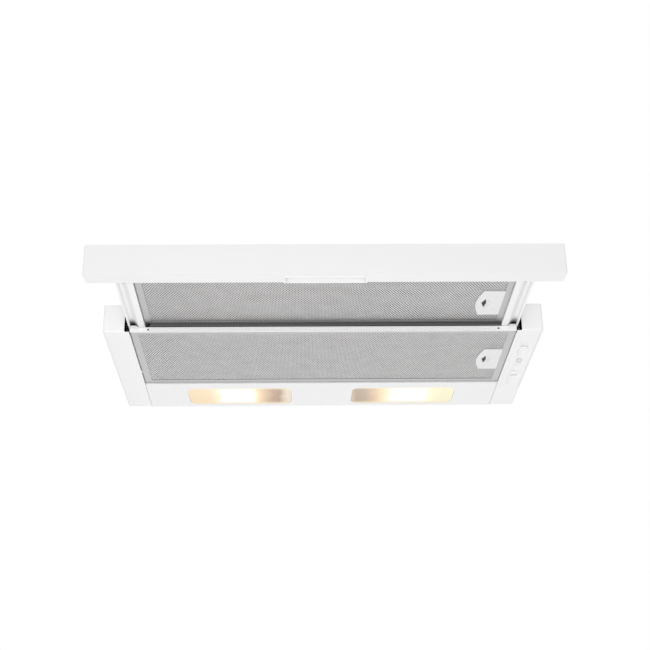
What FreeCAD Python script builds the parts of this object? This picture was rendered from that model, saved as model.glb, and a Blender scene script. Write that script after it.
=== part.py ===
"""Telescopic under cabinet range hood, built as an assembly of separate pieces.

The frame is +Z up, +Y towards the wall and -Y towards the cook.  The origin is the centre of the four
cabinet screw holes, in the plane where the body meets the cabinet, so the flat body hangs below Z 0 and
the motor box stands above it.  The visor is modelled pulled out.
"""
import FreeCAD, Part
import math
import os
import re
import Sketcher

doc = FreeCAD.newDocument("RangeHood")

# Every driving dimension, in millimetres: alias, value, what it is.
SIZES = [
    ("body_width", 598, "width over the side caps, to slide into a 600 mm cabinet"),
    ("body_depth", 280, "depth of the flat body"),
    ("body_height", 40, "height of the flat body"),
    ("steel", 0.8, "sheet steel"),
    ("plastic", 2, "wall of the moulded pieces"),
    ("fit_gap", 0.3, "clearance between pieces that do not touch"),
    ("screw_radius", 2.6, "clearance hole for a cabinet screw"),
    ("screw_spacing_across", 564, "cabinet screw holes, side to side"),
    ("screw_spacing_deep", 180, "cabinet screw holes, front to back"),
    ("cap_width", 35.5, "width of a side cap"),
    ("cap_rounding", 3, "outer front corner of a side cap"),
    ("cap_port_width", 6.5, "opening for the rail in a cap's front, from its inner side"),
    ("cap_port_sill", 1, "height of that opening above the body's underside"),
    ("crossbar_height", 7, "front bar between the caps"),
    ("crossbar_web", 1.5, "thickness of the bar's front"),
    ("crossbar_depth", 10, "depth of the bar's top flange"),
    ("crossbar_hole_radius", 1.3, "drilling near each end of the bar"),
    ("crossbar_hole_inset", 25.5, "from the bar's end to its drilling"),
    ("panel_height", 40.5, "front panel of the visor"),
    ("panel_depth", 25, "front panel, front to back"),
    ("panel_lift", 2, "panel's underside above the body's"),
    ("panel_wall", 1.8, "wall of the front panel"),
    ("panel_rounding", 2.5, "outer corners of the front panel"),
    ("travel", 142, "travel of the visor"),
    ("panel_gap", 1, "panel to body with the visor closed"),
    ("rail_width", 24, "side rail of the visor"),
    ("rail_offset", 2.5, "how far a rail reaches past a cap's inner side"),
    ("rail_lift", 7.6, "rail's underside above the body's"),
    ("rail_height", 16.4, "height of a rail"),
    ("rail_foot", 8, "flat foot beside the filter"),
    ("rail_lip", 4, "outer wall of a rail"),
    ("rail_cove", 7.4, "height of the guide channel"),
    ("rail_cove_rounding", 5.5, "cove on the inner side of the guide channel"),
    ("rail_tail", 40, "length of rail left inside the body with the visor out"),
    ("filter_thickness", 4, "grease filter cassette"),
    ("filter_border", 10, "folded border of a cassette"),
    ("filter_recess", 0.8, "mesh set back from the border's face"),
    ("filter_lift", 2, "body filter's underside above the body's"),
    ("visor_filter_lift", 11, "visor filter's underside above the body's"),
    ("filter_side_gap", 1.1, "cassette to the wall beside it"),
    ("filter_end_gap", 1, "cassette to the piece before and behind it"),
    ("filter_grip_gap", 1.5, "visor filter to the panel, past the pull grip"),
    ("latch_width", 32, "latch plate, along the body's width"),
    ("latch_length", 69, "latch plate, front to back"),
    ("latch_plate", 1.3, "thickness of the latch plate"),
    ("latch_proud", 0.7, "latch plate below the border"),
    ("latch_rounding", 24, "radius of the latch plate's rounded side"),
    ("latch_tongue_width", 20, "tongue that holds the cassette"),
    ("latch_tongue", 1.4, "thickness of the tongue"),
    ("latch_travel", 6, "travel of the latch"),
    ("latch_shift", 8, "latch centre behind the cassette's centre"),
    ("finger_hole_width", 8, "diamond finger hole, across"),
    ("finger_hole_length", 28, "diamond finger hole, front to back"),
    ("hook_reach", 2, "hook tab under a cassette's hinge side"),
    ("hook_length", 10, "length of a hook tab"),
    ("hook_thickness", 1.3, "thickness of a hook tab"),
    ("hook_spacing", 100, "hook tabs of the body filter, centre to centre"),
    ("light_depth", 91, "light panel, front to back"),
    ("light_sheet", 1, "light panel's sheet"),
    ("light_upstand", 6, "turned-up front edge of the light panel"),
    ("lens_width", 155, "lamp cover"),
    ("lens_length", 63, "lamp cover, front to back"),
    ("lens_thickness", 1.6, "lamp cover"),
    ("lens_rounding", 13, "corner of a lamp cover"),
    ("lens_centre", 124, "lamp cover's centre from the middle"),
    ("lens_setback", 9.5, "lamp cover from the body's back"),
    ("reflector_margin", 5, "reflector around the lamp cover"),
    ("reflector_height", 31, "reflector"),
    ("holder_radius", 12, "lamp holder"),
    ("holder_length", 30, "lamp holder"),
    ("lamp_height", 16, "lamp's axis above the body's underside"),
    ("bulb_radius", 12.5, "bulb's glass"),
    ("bulb_length", 78, "bulb's glass"),
    ("bulb_neck", 7, "radius of the bulb's cap"),
    ("control_width", 28, "control plate"),
    ("control_length", 190, "control plate, front to back"),
    ("control_setback", 14, "control plate from the body's front"),
    ("control_lip", 2.6, "hidden lip around the control plate"),
    ("scoop_width", 15.5, "finger scoop in the control plate"),
    ("scoop_depth", 1.6, "finger scoop"),
    ("knob_width", 12, "slide knob"),
    ("knob_length", 14, "slide knob, along its travel"),
    ("knob_proud", 0.7, "slide knob past the plate"),
    ("stem_width", 4.4, "stem of a slide knob"),
    ("stem_length", 8, "stem of a slide knob"),
    ("light_scoop_length", 42, "scoop of the light switch"),
    ("light_scoop_start", 34, "from the plate's front"),
    ("light_travel", 10, "light switch, off to on"),
    ("boost_scoop_length", 27, "scoop of the boost switch"),
    ("boost_scoop_start", 82, "from the plate's front"),
    ("boost_travel", 8, "boost switch, off to on"),
    ("boost_scoop_width", 8, "narrow scoop of the boost switch"),
    ("speed_scoop_length", 54, "scoop of the speed switch"),
    ("speed_scoop_start", 125, "from the plate's front"),
    ("speed_travel", 24, "speed switch, four places"),
    ("switch_height", 14, "switch block"),
    ("switch_width", 20, "switch block"),
    ("box_width", 500, "motor box"),
    ("box_front", 62, "motor box from the body's front"),
    ("box_back", 8, "motor box from the body's back"),
    ("box_height", 120, "motor box"),
    ("box_chamfer", 22, "sloping front edge of the motor box"),
    ("box_flange", 8, "flange turned in around the motor box's foot"),
    ("air_margin", 22, "deck left around the air opening"),
    ("duct_radius", 60, "outside of the duct collar, for 120 mm duct"),
    ("duct_wall", 2.5, "wall of the collar"),
    ("duct_height", 30, "collar above the motor box"),
    ("duct_flange", 70, "radius of the collar's flange"),
    ("duct_flange_thickness", 2.5, "collar's flange"),
    ("duct_seat", 54.5, "inner radius of the flap seat"),
    ("duct_setback", 105, "collar's centre from the body's back"),
    ("flap_thickness", 1.2, "non-return flap"),
    ("flap_pin_radius", 1.5, "flap pin"),
    ("flap_pin_lift", 7, "flap pin above the motor box"),
    ("flap_sleeve", 2.8, "outer radius of a flap's sleeve"),
    ("scroll_width", 100, "blower casing"),
    ("scroll_wall", 2, "wall of the blower casing"),
    ("scroll_centre_height", 62, "blower axis above the cabinet plane"),
    ("scroll_offset", 35, "blower axis in front of the collar's centre"),
    ("scroll_cutoff", 50, "smallest radius of the casing"),
    ("scroll_cutoff_angle", 75, "where the spiral starts, in degrees up from the back"),
    ("scroll_throat", 2, "front wall of the outlet duct, behind the axis"),
    ("scroll_mouth", 68, "largest radius of the casing"),
    ("inlet_radius", 38, "air inlet in each side of the casing"),
    ("impeller_radius", 44, "double inlet impeller"),
    ("impeller_length", 86, "impeller"),
    ("impeller_blade", 10, "depth of a blade"),
    ("shaft_radius", 4, "motor shaft"),
    ("motor_radius", 41, "motor body"),
    ("motor_length", 66, "motor body"),
    ("motor_gap", 14, "motor to blower casing, so that air gets in"),
    ("bracket_thickness", 3, "motor bracket"),
    ("bracket_radius", 54, "motor bracket"),
    ("post_radius", 4, "bracket post"),
    ("post_circle", 47, "radius of the circle of posts"),
    ("capacitor_radius", 14, "run capacitor"),
    ("capacitor_length", 52, "run capacitor"),
    ("terminal_width", 40, "terminal box, out from the wall"),
    ("terminal_length", 90, "terminal box, front to back"),
    ("terminal_height", 46, "terminal box"),
    ("cable_radius", 4, "cable hole in the grommet"),
    ("grommet_radius", 9, "grommet"),
    ("grommet_length", 10, "grommet"),
    ("grip_width", 105, "pull grip under the panel"),
    ("grip_depth", 18, "pull grip, front to back"),
    ("grip_rim", 1, "grip's rim below the panel"),
    ("grip_recess", 9, "depth of the finger recess"),
    ("grip_border", 2.6, "rim around the finger recess"),
    ("guide_length", 11.5, "nylon guide on the crossbar"),
    ("guide_height", 3, "nylon guide"),
    ("glide_length", 24, "nylon glide at a rail's back end"),
    ("lever_room", 3, "room behind the switch lever"),
    ("small_head", 3, "radius of a small screw's head"),
    ("small_head_height", 1.6, "height of a small screw's head"),
]

# Places that several pieces share, so that what fits together is worked out from one formula.
PLACES = {
    "front": "-body_depth/2",
    "back": "body_depth/2",
    "floor": "-body_height",
    "cap_inner": "body_width/2 - cap_width",
    "deck": "-steel",
    "rail_outer": "cap_inner + rail_offset",
    "rail_inner": "rail_outer - rail_width",
    "rail_floor": "floor + rail_lift",
    "rail_top": "rail_floor + rail_height",
    "channel_in": "rail_inner + rail_foot",
    "channel_out": "rail_outer - rail_lip",
    "channel_top": "rail_floor + rail_cove",
    "panel_floor": "floor + panel_lift",
    "panel_top": "panel_floor + panel_height",
    "panel_back": "front - panel_gap - travel",
    "panel_front": "panel_back - panel_depth",
    "tail": "front + rail_tail",
    "web": "rail_outer + 2",
    "ledge_top": "rail_floor - fit_gap",
    "light_front": "back - light_depth - steel",
    "light_back": "back - steel",
    "filter_floor": "floor + filter_lift",
    "filter_top": "filter_floor + filter_thickness",
    "filter_out": "cap_inner - filter_side_gap",
    "filter_start": "front + crossbar_web + filter_end_gap",
    "filter_end": "light_front - filter_end_gap",
    "visor_filter_floor": "floor + visor_filter_lift",
    "visor_filter_top": "visor_filter_floor + filter_thickness",
    "visor_filter_out": "rail_inner - filter_side_gap",
    "visor_filter_start": "panel_back + filter_grip_gap",
    "visor_filter_end": "front - filter_end_gap",
    "box_start": "front + box_front",
    "box_end": "back - box_back",
    "box_side": "box_width/2",
    "duct_y": "back - duct_setback",
    "axis_y": "duct_y - scroll_offset",
    "axis_z": "scroll_centre_height",
    "lens_end": "back - lens_setback",
    "lens_start": "lens_end - lens_length",
    "lens_y": "lens_end - lens_length/2",
    "lamp_z": "floor + lamp_height",
    "control_x": "body_width/2 - cap_width/2 + 1",
    "control_y": "front + control_setback",
    "plate_top": "floor + plastic + steel",
    "bar_end": "cap_inner - fit_gap",
    "case_end": "scroll_width/2",
    "motor_face": "case_end + motor_gap",
    "grip_front": "panel_back - grip_depth + 1",
}

sheet = doc.addObject("Spreadsheet::Sheet", "Sizes")
for row, (alias, number, meaning) in enumerate(SIZES, 1):
    sheet.set(f"A{row}", meaning)
    sheet.set(f"B{row}", str(number))
    sheet.setAlias(f"B{row}", alias)
doc.recompute()

WORD = re.compile(r"[a-z][a-z_]*")
parts = []


def formula(text):
    """The formula in the sheet's own terms: each place is spelled out and each alias gets its sheet."""
    def spell(match):
        word = match.group()
        if word in PLACES:
            return "(" + formula(PLACES[word]) + ")"
        return "Sizes." + word if word in ALIASES else word
    return WORD.sub(spell, str(text))


ALIASES = {alias for alias, number, meaning in SIZES}


def number(text):
    """The value of a formula, worked out by the sheet."""
    return float(sheet.evalExpression(formula(text)))


def bind(thing, **formulas):
    """Ties properties to formulas; a double underscore in a keyword stands for a dot."""
    for name, text in formulas.items():
        thing.setExpression(name.replace("__", "."), formula(text))
    return thing


def part(thing, label):
    """Marks an object as a sub-part, whose label names its file."""
    thing.Label = label
    parts.append(thing)
    return thing


def box(name, x, y, z):
    """A box between two formulas along each axis."""
    made = doc.addObject("Part::Box", name)
    return bind(made, Length=f"({x[1]}) - ({x[0]})", Width=f"({y[1]}) - ({y[0]})",
                Height=f"({z[1]}) - ({z[0]})", Placement__Base__x=x[0],
                Placement__Base__y=y[0], Placement__Base__z=z[0])


TURN = {"x": (FreeCAD.Vector(0, 1, 0), 90), "y": (FreeCAD.Vector(1, 0, 0), -90),
        "z": (FreeCAD.Vector(0, 0, 1), 0)}


def rod(name, axis, radius, length, x, y, z):
    """A cylinder that runs from (x, y, z) towards plus axis."""
    made = doc.addObject("Part::Cylinder", name)
    made.Placement = FreeCAD.Placement(FreeCAD.Vector(), FreeCAD.Rotation(*TURN[axis]))
    return bind(made, Radius=radius, Height=length, Placement__Base__x=x,
                Placement__Base__y=y, Placement__Base__z=z)


def fuse(name, *pieces):
    made = doc.addObject("Part::MultiFuse", name)
    made.Shapes = list(pieces)
    made.Refine = True
    return made


def cut(name, base, *tools):
    made = doc.addObject("Part::Cut", name)
    made.Base = base
    made.Tool = tools[0] if len(tools) == 1 else fuse(name + "_tools", *tools)
    made.Refine = True
    return made


def group(name, *pieces):
    """Separate solids that share a node."""
    made = doc.addObject("Part::Compound", name)
    made.Links = list(pieces)
    return made


def mirror(name, source):
    """The other hand of a piece, across the middle plane."""
    made = doc.addObject("Part::Mirroring", name)
    made.Source = source
    made.Normal = FreeCAD.Vector(1, 0, 0)
    return made


PLANES = {"xy": "XY_Plane", "xz": "XZ_Plane", "yz": "YZ_Plane"}


def sketch(body, name, plane, offset, outline, circles=()):
    """A closed outline on one of the body's origin planes, with each corner tied to its formulas."""
    made = body.newObject("Sketcher::SketchObject", name)
    origin = [p for p in body.Origin.OriginFeatures if p.Role == PLANES[plane]][0]
    made.AttachmentSupport = [(origin, "")]
    made.MapMode = "FlatFace"
    # The XZ plane faces -Y, so its offset is turned round.
    bind(made, AttachmentOffset__Base__z=f"-({offset})" if plane == "xz" else offset)
    corners = [FreeCAD.Vector(number(u), number(v), 0) for u, v in outline]
    count = len(corners)
    for i in range(count):
        made.addGeometry(Part.LineSegment(corners[i], corners[(i + 1) % count]))
    for i in range(count):
        made.addConstraint(Sketcher.Constraint("Coincident", i, 2, (i + 1) % count, 1))
    for i, (u, v) in enumerate(outline):
        for kind, text, value in (("DistanceX", u, corners[i].x), ("DistanceY", v, corners[i].y)):
            index = made.addConstraint(Sketcher.Constraint(kind, -1, 1, i, 1, value))
            made.setExpression(f"Constraints[{index}]", formula(text))
    for u, v, radius in circles:
        centre = FreeCAD.Vector(number(u), number(v), 0)
        index = made.addGeometry(Part.Circle(centre, FreeCAD.Vector(0, 0, 1), number(radius)))
        rules = (("DistanceX", u, (-1, 1, index, 3, centre.x)),
                 ("DistanceY", v, (-1, 1, index, 3, centre.y)), ("Radius", radius, (index, number(radius))))
        for kind, text, where in rules:
            rule = made.addConstraint(Sketcher.Constraint(kind, *where))
            made.setExpression(f"Constraints[{rule}]", formula(text))
    return made


def pad(body, name, plane, start, end, outline, circles=()):
    """Material between two places along the plane's normal."""
    made = body.newObject("PartDesign::Pad", name)
    made.Profile = sketch(body, name + "_outline", plane, start, outline, circles)
    made.Reversed = plane == "xz"
    return bind(made, Length=f"({end}) - ({start})")


def pocket(body, name, plane, start, end, outline, circles=()):
    """A cut between two places along the plane's normal."""
    doc.recompute()
    before = body.Shape.Volume
    made = body.newObject("PartDesign::Pocket", name)
    made.Profile = sketch(body, name + "_outline", plane, start, outline, circles)
    made.Reversed = plane != "xz"
    bind(made, Length=f"({end}) - ({start})")
    doc.recompute()
    if body.Shape.Volume > before - 0.001:
        raise RuntimeError(f"{name} cuts nothing")
    return made


def new_body(label):
    return part(doc.addObject("PartDesign::Body", label), label)


def rect(x0, x1, y0, y1):
    return [(x0, y0), (x1, y0), (x1, y1), (x0, y1)]


def edges(thing, test):
    """Names of the edges whose middle point and direction pass the test."""
    found = []
    for i, edge in enumerate(thing.Shape.Edges, 1):
        first, last = edge.Vertexes[0].Point, edge.Vertexes[-1].Point
        if test((first + last) * 0.5, last - first):
            found.append(f"Edge{i}")
    return found


def along(direction, axis):
    """True for an edge that runs along the axis and isn't a closed ring."""
    length = direction.Length
    return length > 0.01 and abs(getattr(direction, axis)) > 0.999 * length


def round_edges(body, name, radius, test, kind="PartDesign::Fillet"):
    """Rounds, or with another kind bevels, the edges of a body that pass the test."""
    doc.recompute()
    tip = body.Tip
    made = body.newObject(kind, name)
    made.Base = (tip, edges(tip, test))
    bind(made, **{"Radius" if kind.endswith("Fillet") else "Size": radius})
    return made


# ---------------------------------------------------------------- the fixed body


def base_chassis():
    """Painted sheet steel: deck, back wall, front lip and a folded channel for each rail."""
    body = new_body("base_chassis")
    half = "body_width/2"
    pad(body, "deck_sheet", "xy", "deck", "0", rect(f"-{half}", half, "front", "back"))
    pad(body, "back_wall", "xy", "floor", "deck", rect("-cap_inner", "cap_inner", "light_back", "back"))
    pad(body, "front_lip", "xy", "rail_top + 3", "deck",
        rect("-bar_end", "bar_end", "front", "front + steel"))
    for side, sign in (("left", "-"), ("right", "")):
        channel = [("web", "deck"), ("web", "ledge_top"), ("channel_in + 2", "ledge_top"),
                   ("channel_in + 2", "ledge_top - steel"), ("web + steel", "ledge_top - steel"),
                   ("web + steel", "deck")]
        pad(body, f"channel_{side}", "xz", "front + crossbar_depth + 2", "back - plastic - fit_gap",
            [(f"{sign}({u})", v) for u, v in channel])
    opening = rect("-box_side + air_margin", "box_side - air_margin",
                   "box_start + air_margin", "box_end - air_margin")
    pocket(body, "air_opening", "xy", "deck", "0", opening)
    holes = [(f"{a}screw_spacing_across/2", f"{b}screw_spacing_deep/2") for a in ("-", "") for b in ("-",
                                                                                                     "")]
    for index, (u, v) in enumerate(holes):
        tool = body.newObject("PartDesign::Pocket", f"cabinet_hole_{index}")
        spot = body.newObject("Sketcher::SketchObject", f"cabinet_hole_{index}_ring")
        plane = [p for p in body.Origin.OriginFeatures if p.Role == "XY_Plane"][0]
        spot.AttachmentSupport = [(plane, "")]
        spot.MapMode = "FlatFace"
        ring = Part.Circle(FreeCAD.Vector(number(u), number(v), 0), FreeCAD.Vector(0, 0, 1),
                           number("screw_radius"))
        spot.addGeometry(ring)
        spot.addConstraint(Sketcher.Constraint("DistanceX", -1, 1, 0, 3, number(u)))
        spot.addConstraint(Sketcher.Constraint("DistanceY", -1, 1, 0, 3, number(v)))
        spot.addConstraint(Sketcher.Constraint("Radius", 0, number("screw_radius")))
        for rule, text in enumerate((u, v, "screw_radius")):
            spot.setExpression(f"Constraints[{rule}]", formula(text))
        tool.Profile = spot
        bind(tool, Length="steel*2")


def side_cap(label, sign):
    """Moulded cap with a floor, outer wall and ends; its inner wall stops under the rail's ledge."""
    def x(text):
        return f"{sign}({text})"
    half, wall = "body_width/2", "plastic"
    body = new_body(label)
    pad(body, f"{label}_block", "xy", "floor", "deck", rect(x("cap_inner"), x(half), "front", "back"))
    round_edges(body, f"{label}_corner", "cap_rounding",
                lambda p, d: along(d, "z") and p.y < 0 and abs(p.x) > number(half) - 1)
    round_edges(body, f"{label}_rim", "cap_rounding/2",
                lambda p, d: p.z < number("floor") + 0.01 and abs(p.x) > number("cap_inner") + 1)
    hollow = rect(x(f"cap_inner + {wall}"), x(f"{half} - {wall}"), f"front + {wall}", f"back - {wall}")
    pocket(body, f"{label}_hollow", "xy", f"floor + {wall}", "deck", hollow)
    pocket(body, f"{label}_inner_wall", "xy", "ledge_top - steel - fit_gap", "deck",
           rect(x("cap_inner"), x(f"cap_inner + {wall}"), f"front + {wall}", f"back - {wall}"))
    port = rect(x("cap_inner"), x("cap_inner + cap_port_width"), "floor + cap_port_sill", "rail_top + 2")
    pocket(body, f"{label}_port", "xz", "front", f"front + {wall}", port)
    return body


def left_side_cap():
    """The left cap, with the two hook tabs that the body filter's hinge side hangs on."""
    body = side_cap("left_side_cap", "-")
    top = "filter_floor - fit_gap"
    middle = "(filter_start + filter_end)/2"
    for index, sign in enumerate(("-", "+")):
        centre = f"{middle} {sign} hook_spacing/2"
        pad(body, f"hook_tab_{index}", "xy", f"{top} - hook_thickness", top,
            rect("-cap_inner", "-cap_inner + hook_reach",
                 f"{centre} - hook_length/2", f"{centre} + hook_length/2"))


def right_side_cap():
    """The right cap, with the opening for the control plate in its floor."""
    body = side_cap("right_side_cap", "")
    pocket(body, "control_opening", "xy", "floor", "floor + plastic",
           rect("control_x - control_width/2", "control_x + control_width/2",
                "control_y", "control_y + control_length"))


def front_crossbar():
    """Angle between the caps, with a groove along its face and a drilling near each end."""
    body = new_body("front_crossbar")
    top = "floor + crossbar_height"
    section = [("front", "floor"), ("front + crossbar_web", "floor"),
               ("front + crossbar_web", f"{top} - steel"),
               ("front + crossbar_depth", f"{top} - steel"), ("front + crossbar_depth", top), ("front",
                                                                                               top)]
    pad(body, "bar_section", "yz", "-bar_end", "bar_end", section)
    middle = "floor + crossbar_height/2"
    groove = [("front - 1", f"{middle} - 0.9"), ("front", f"{middle} - 0.9"), ("front + 0.4", middle),
              ("front", f"{middle} + 0.9"), ("front - 1", f"{middle} + 0.9")]
    pocket(body, "bar_groove", "yz", "-bar_end", "bar_end", groove)
    drill = "bar_end - crossbar_hole_inset"
    rods = [rod(f"bar_drill_{side}", "y", "crossbar_hole_radius", "crossbar_web*3", f"{sign}({drill})",
                "front - crossbar_web", middle) for side, sign in (("left", "-"), ("right", ""))]
    parts.remove(body)
    body.Label = "bar_blank"
    part(cut("bar_drilled", body, *rods), "front_crossbar")


def front_guide():
    """Nylon guide that stands on the bar's flange and runs in the rail's channel."""
    body = new_body("front_guide_left")
    bar_top = "floor + crossbar_height"
    pad(body, "guide_block", "xy", bar_top, f"{bar_top} + guide_height",
        rect("-channel_out + fit_gap*2", "-channel_in - 2.5", "front + 0.2", "front + guide_length"))
    round_edges(body, "guide_rounding", "1.2",
                lambda p, d: p.z > number(bar_top) + 1 and along(d, "y"))
    part(mirror("guide_other_hand", body), "front_guide_right")


def light_panel():
    """Sheet behind the filter with the two lamp openings and a turned-up front edge."""
    body = new_body("light_panel")
    half = "cap_inner - fit_gap"
    pad(body, "light_sheet_flat", "xy", "floor", "floor + light_sheet",
        rect(f"-({half})", half, "light_front", "light_back"))
    pad(body, "light_turn_up", "xy", "floor + light_sheet", "floor + light_upstand",
        rect(f"-({half})", half, "light_front", "light_front + light_sheet"))
    round_edges(body, "light_front_rounding", "0.7",
                lambda p, d: along(d,
                                   "x") and p.z < number("floor") + 0.01 and p.y < number("light_front") + 0.1)
    gap = "fit_gap"
    for side, sign in (("left", "-"), ("right", "")):
        centre = f"{sign}lens_centre"
        pocket(body, f"lamp_opening_{side}", "xy", "floor", "floor + light_sheet",
               rect(f"{centre} - lens_width/2 - {gap}", f"{centre} + lens_width/2 + {gap}",
                    f"lens_start - {gap}", f"lens_end + {gap}"))
    inner = number("lens_width/2 + fit_gap")
    round_edges(body, "lamp_opening_corners", "lens_rounding + fit_gap",
                lambda p, d: along(d, "z") and p.z < number("floor + light_sheet")
                and abs(abs(abs(p.x) - number("lens_centre")) - inner) < 0.1)


def lamp_cover():
    """Frosted cover that clips into the light panel's opening."""
    body = new_body("lamp_cover_left")
    x0, x1 = "-lens_centre - lens_width/2", "-lens_centre + lens_width/2"
    pad(body, "cover_plate", "xy", "floor", "floor + lens_thickness",
        rect(x0, x1, "lens_start", "lens_end"))
    round_edges(body, "cover_corners", "lens_rounding", lambda p, d: along(d, "z"))
    part(mirror("cover_other_hand", body), "lamp_cover_right")


def lamp_set():
    """Reflector, holder and bulb on the left, then their other hand."""
    m, wall = "reflector_margin", "steel"
    x0, x1 = f"-lens_centre - lens_width/2 - {m}", f"-lens_centre + lens_width/2 + {m}"
    y0, y1 = f"lens_start - {m}", "light_back - fit_gap"
    z0, z1 = "floor + light_sheet", "floor + reflector_height"
    outer = box("reflector_outer", (x0, x1), (y0, y1), (z0, z1))
    inner = box("reflector_inner", (f"{x0} + {wall}", f"{x1} - {wall}"),
                (f"{y0} + {wall}", f"{y1} - {wall}"),
                (z0, f"{z1} - {wall}"))
    reflector = part(cut("reflector_cut", outer, inner), "lamp_reflector_left")
    end = f"{x1} - {wall}"
    barrel = rod("holder_barrel", "x", "holder_radius", "holder_length", f"{end} - holder_length", "lens_y",
                 "lamp_z")
    socket = rod("holder_socket", "x", "bulb_neck", "holder_length*0.7", f"{end} - holder_length", "lens_y",
                 "lamp_z")
    holder = part(cut("holder_cut", barrel, socket), "lamp_holder_left")
    bulb = new_body("bulb_left")
    bulb_profile(bulb, f"{end} - holder_length")
    for source, label in ((reflector, "lamp_reflector_right"), (holder, "lamp_holder_right"),
                          (bulb, "bulb_right")):
        part(mirror(label + "_hand", source), label)


def bulb_profile(body, mouth):
    """A tubular bulb turned about its own axis: screw cap, shoulder, glass and rounded end."""
    made = body.newObject("PartDesign::Revolution", "bulb_turned")
    neck, r = "bulb_neck - 0.1", "bulb_radius"
    # The outline's first number runs along the bulb from the holder's mouth, towards minus X.
    outline = [(f"{mouth} + holder_length*0.6", "0"), (f"{mouth} + holder_length*0.6", neck),
               (f"{mouth} - 2", neck), (f"{mouth} - 12", r), (f"{mouth} - bulb_length + 8", r),
               (f"{mouth} - bulb_length + 2", f"{r}*0.72"), (f"{mouth} - bulb_length", f"{r}*0.3"),
               (f"{mouth} - bulb_length", "0")]
    flat = sketch(body, "bulb_outline", "xz", "0", outline)
    made.Profile = flat
    made.ReferenceAxis = (flat, ["H_Axis"])
    made.Angle = 360
    bind(body, Placement__Base__y="lens_y", Placement__Base__z="lamp_z")


SWITCHES = [("light", "scoop_width", "knob_width"), ("boost", "boost_scoop_width", "boost_scoop_width - 2"),
            ("speed", "scoop_width", "knob_width")]


def stadium(name, width, y0, y1, z0, z1):
    """A round-ended bar along Y, centred on the controls."""
    radius = f"({width})/2"
    bar = box(f"{name}_bar", (f"control_x - {radius}", f"control_x + {radius}"),
              (f"{y0} + {radius}", f"{y1} - {radius}"), (z0, z1))
    height = f"({z1}) - ({z0})"
    ends = [rod(f"{name}_end_{i}", "z", radius, height, "control_x", y, z0)
            for i, y in enumerate((f"{y0} + {radius}", f"{y1} - {radius}"))]
    return fuse(name, bar, *ends)


def control_plate():
    """Plate in the right cap's floor, with a finger scoop and a slot for each slide knob."""
    half = "control_width/2 - 0.15"
    y0, y1 = "control_y + 0.15", "control_y + control_length - 0.15"
    face = box("plate_face", (f"control_x - ({half})", f"control_x + {half}"), (y0, y1),
               ("floor", "plate_top"))
    # The hidden lip stays inside the cap's end and clear of the walls beside it.
    lip = box("plate_lip", (f"control_x - ({half}) + 0.5", f"control_x + {half} - 0.5"),
              ("control_y - control_lip", "control_y + control_length + control_lip"),
              ("floor + plastic", "plate_top"))
    tools = []
    for name, width, _ in SWITCHES:
        y = f"control_y + {name}_scoop_start"
        tools.append(stadium(f"{name}_scoop", width, y, f"{y} + {name}_scoop_length", "floor - 1",
                             "floor + scoop_depth"))
        slot = f"{name}_slot"
        middle = f"{y} + {name}_scoop_length/2"
        reach = f"(stem_length + {name}_travel)/2 + fit_gap"
        tools.append(box(slot, ("control_x - stem_width/2 - 0.2", "control_x + stem_width/2 + 0.2"),
                         (f"{middle} - ({reach})", f"{middle} + {reach}"), ("floor", "plate_top + 1")))
    part(cut("control_plate_cut", fuse("plate_blank", face, lip), *tools), "control_plate")


def slide_switches():
    """A knob for each scoop, at the front of its travel, and the switch block above it."""
    for name, _, knob in SWITCHES:
        y = f"control_y + {name}_scoop_start"
        centre = f"{y} + {name}_scoop_length/2 - {name}_travel/2"
        length = "knob_length" if name != "boost" else "stem_length + 1"
        thumb = stadium(f"{name}_thumb", knob, f"{centre} - ({length})/2", f"{centre} + ({length})/2",
                        "floor - knob_proud", "floor + scoop_depth - fit_gap")
        ridge = box(f"{name}_ridge", (f"control_x - ({knob})/2 + 1", f"control_x + ({knob})/2 - 1"),
                    (f"{centre} - 0.8", f"{centre} + 0.8"), ("floor - knob_proud - 0.9", "floor"))
        stem = box(f"{name}_stem", ("control_x - stem_width/2", "control_x + stem_width/2"),
                   (f"{centre} - stem_length/2", f"{centre} + stem_length/2"), ("floor", "plate_top - 0.1"))
        part(fuse(f"{name}_knob_blank", thumb, ridge, stem), f"{name}_knob")
        block = box(f"{name}_block", ("control_x - switch_width/2", "control_x + switch_width/2"),
                    (y, f"{y} + {name}_scoop_length"), ("plate_top", "plate_top + switch_height"))
        part(block, f"{name}_switch")


# ---------------------------------------------------------------- motor box, blower and outlet


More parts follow.
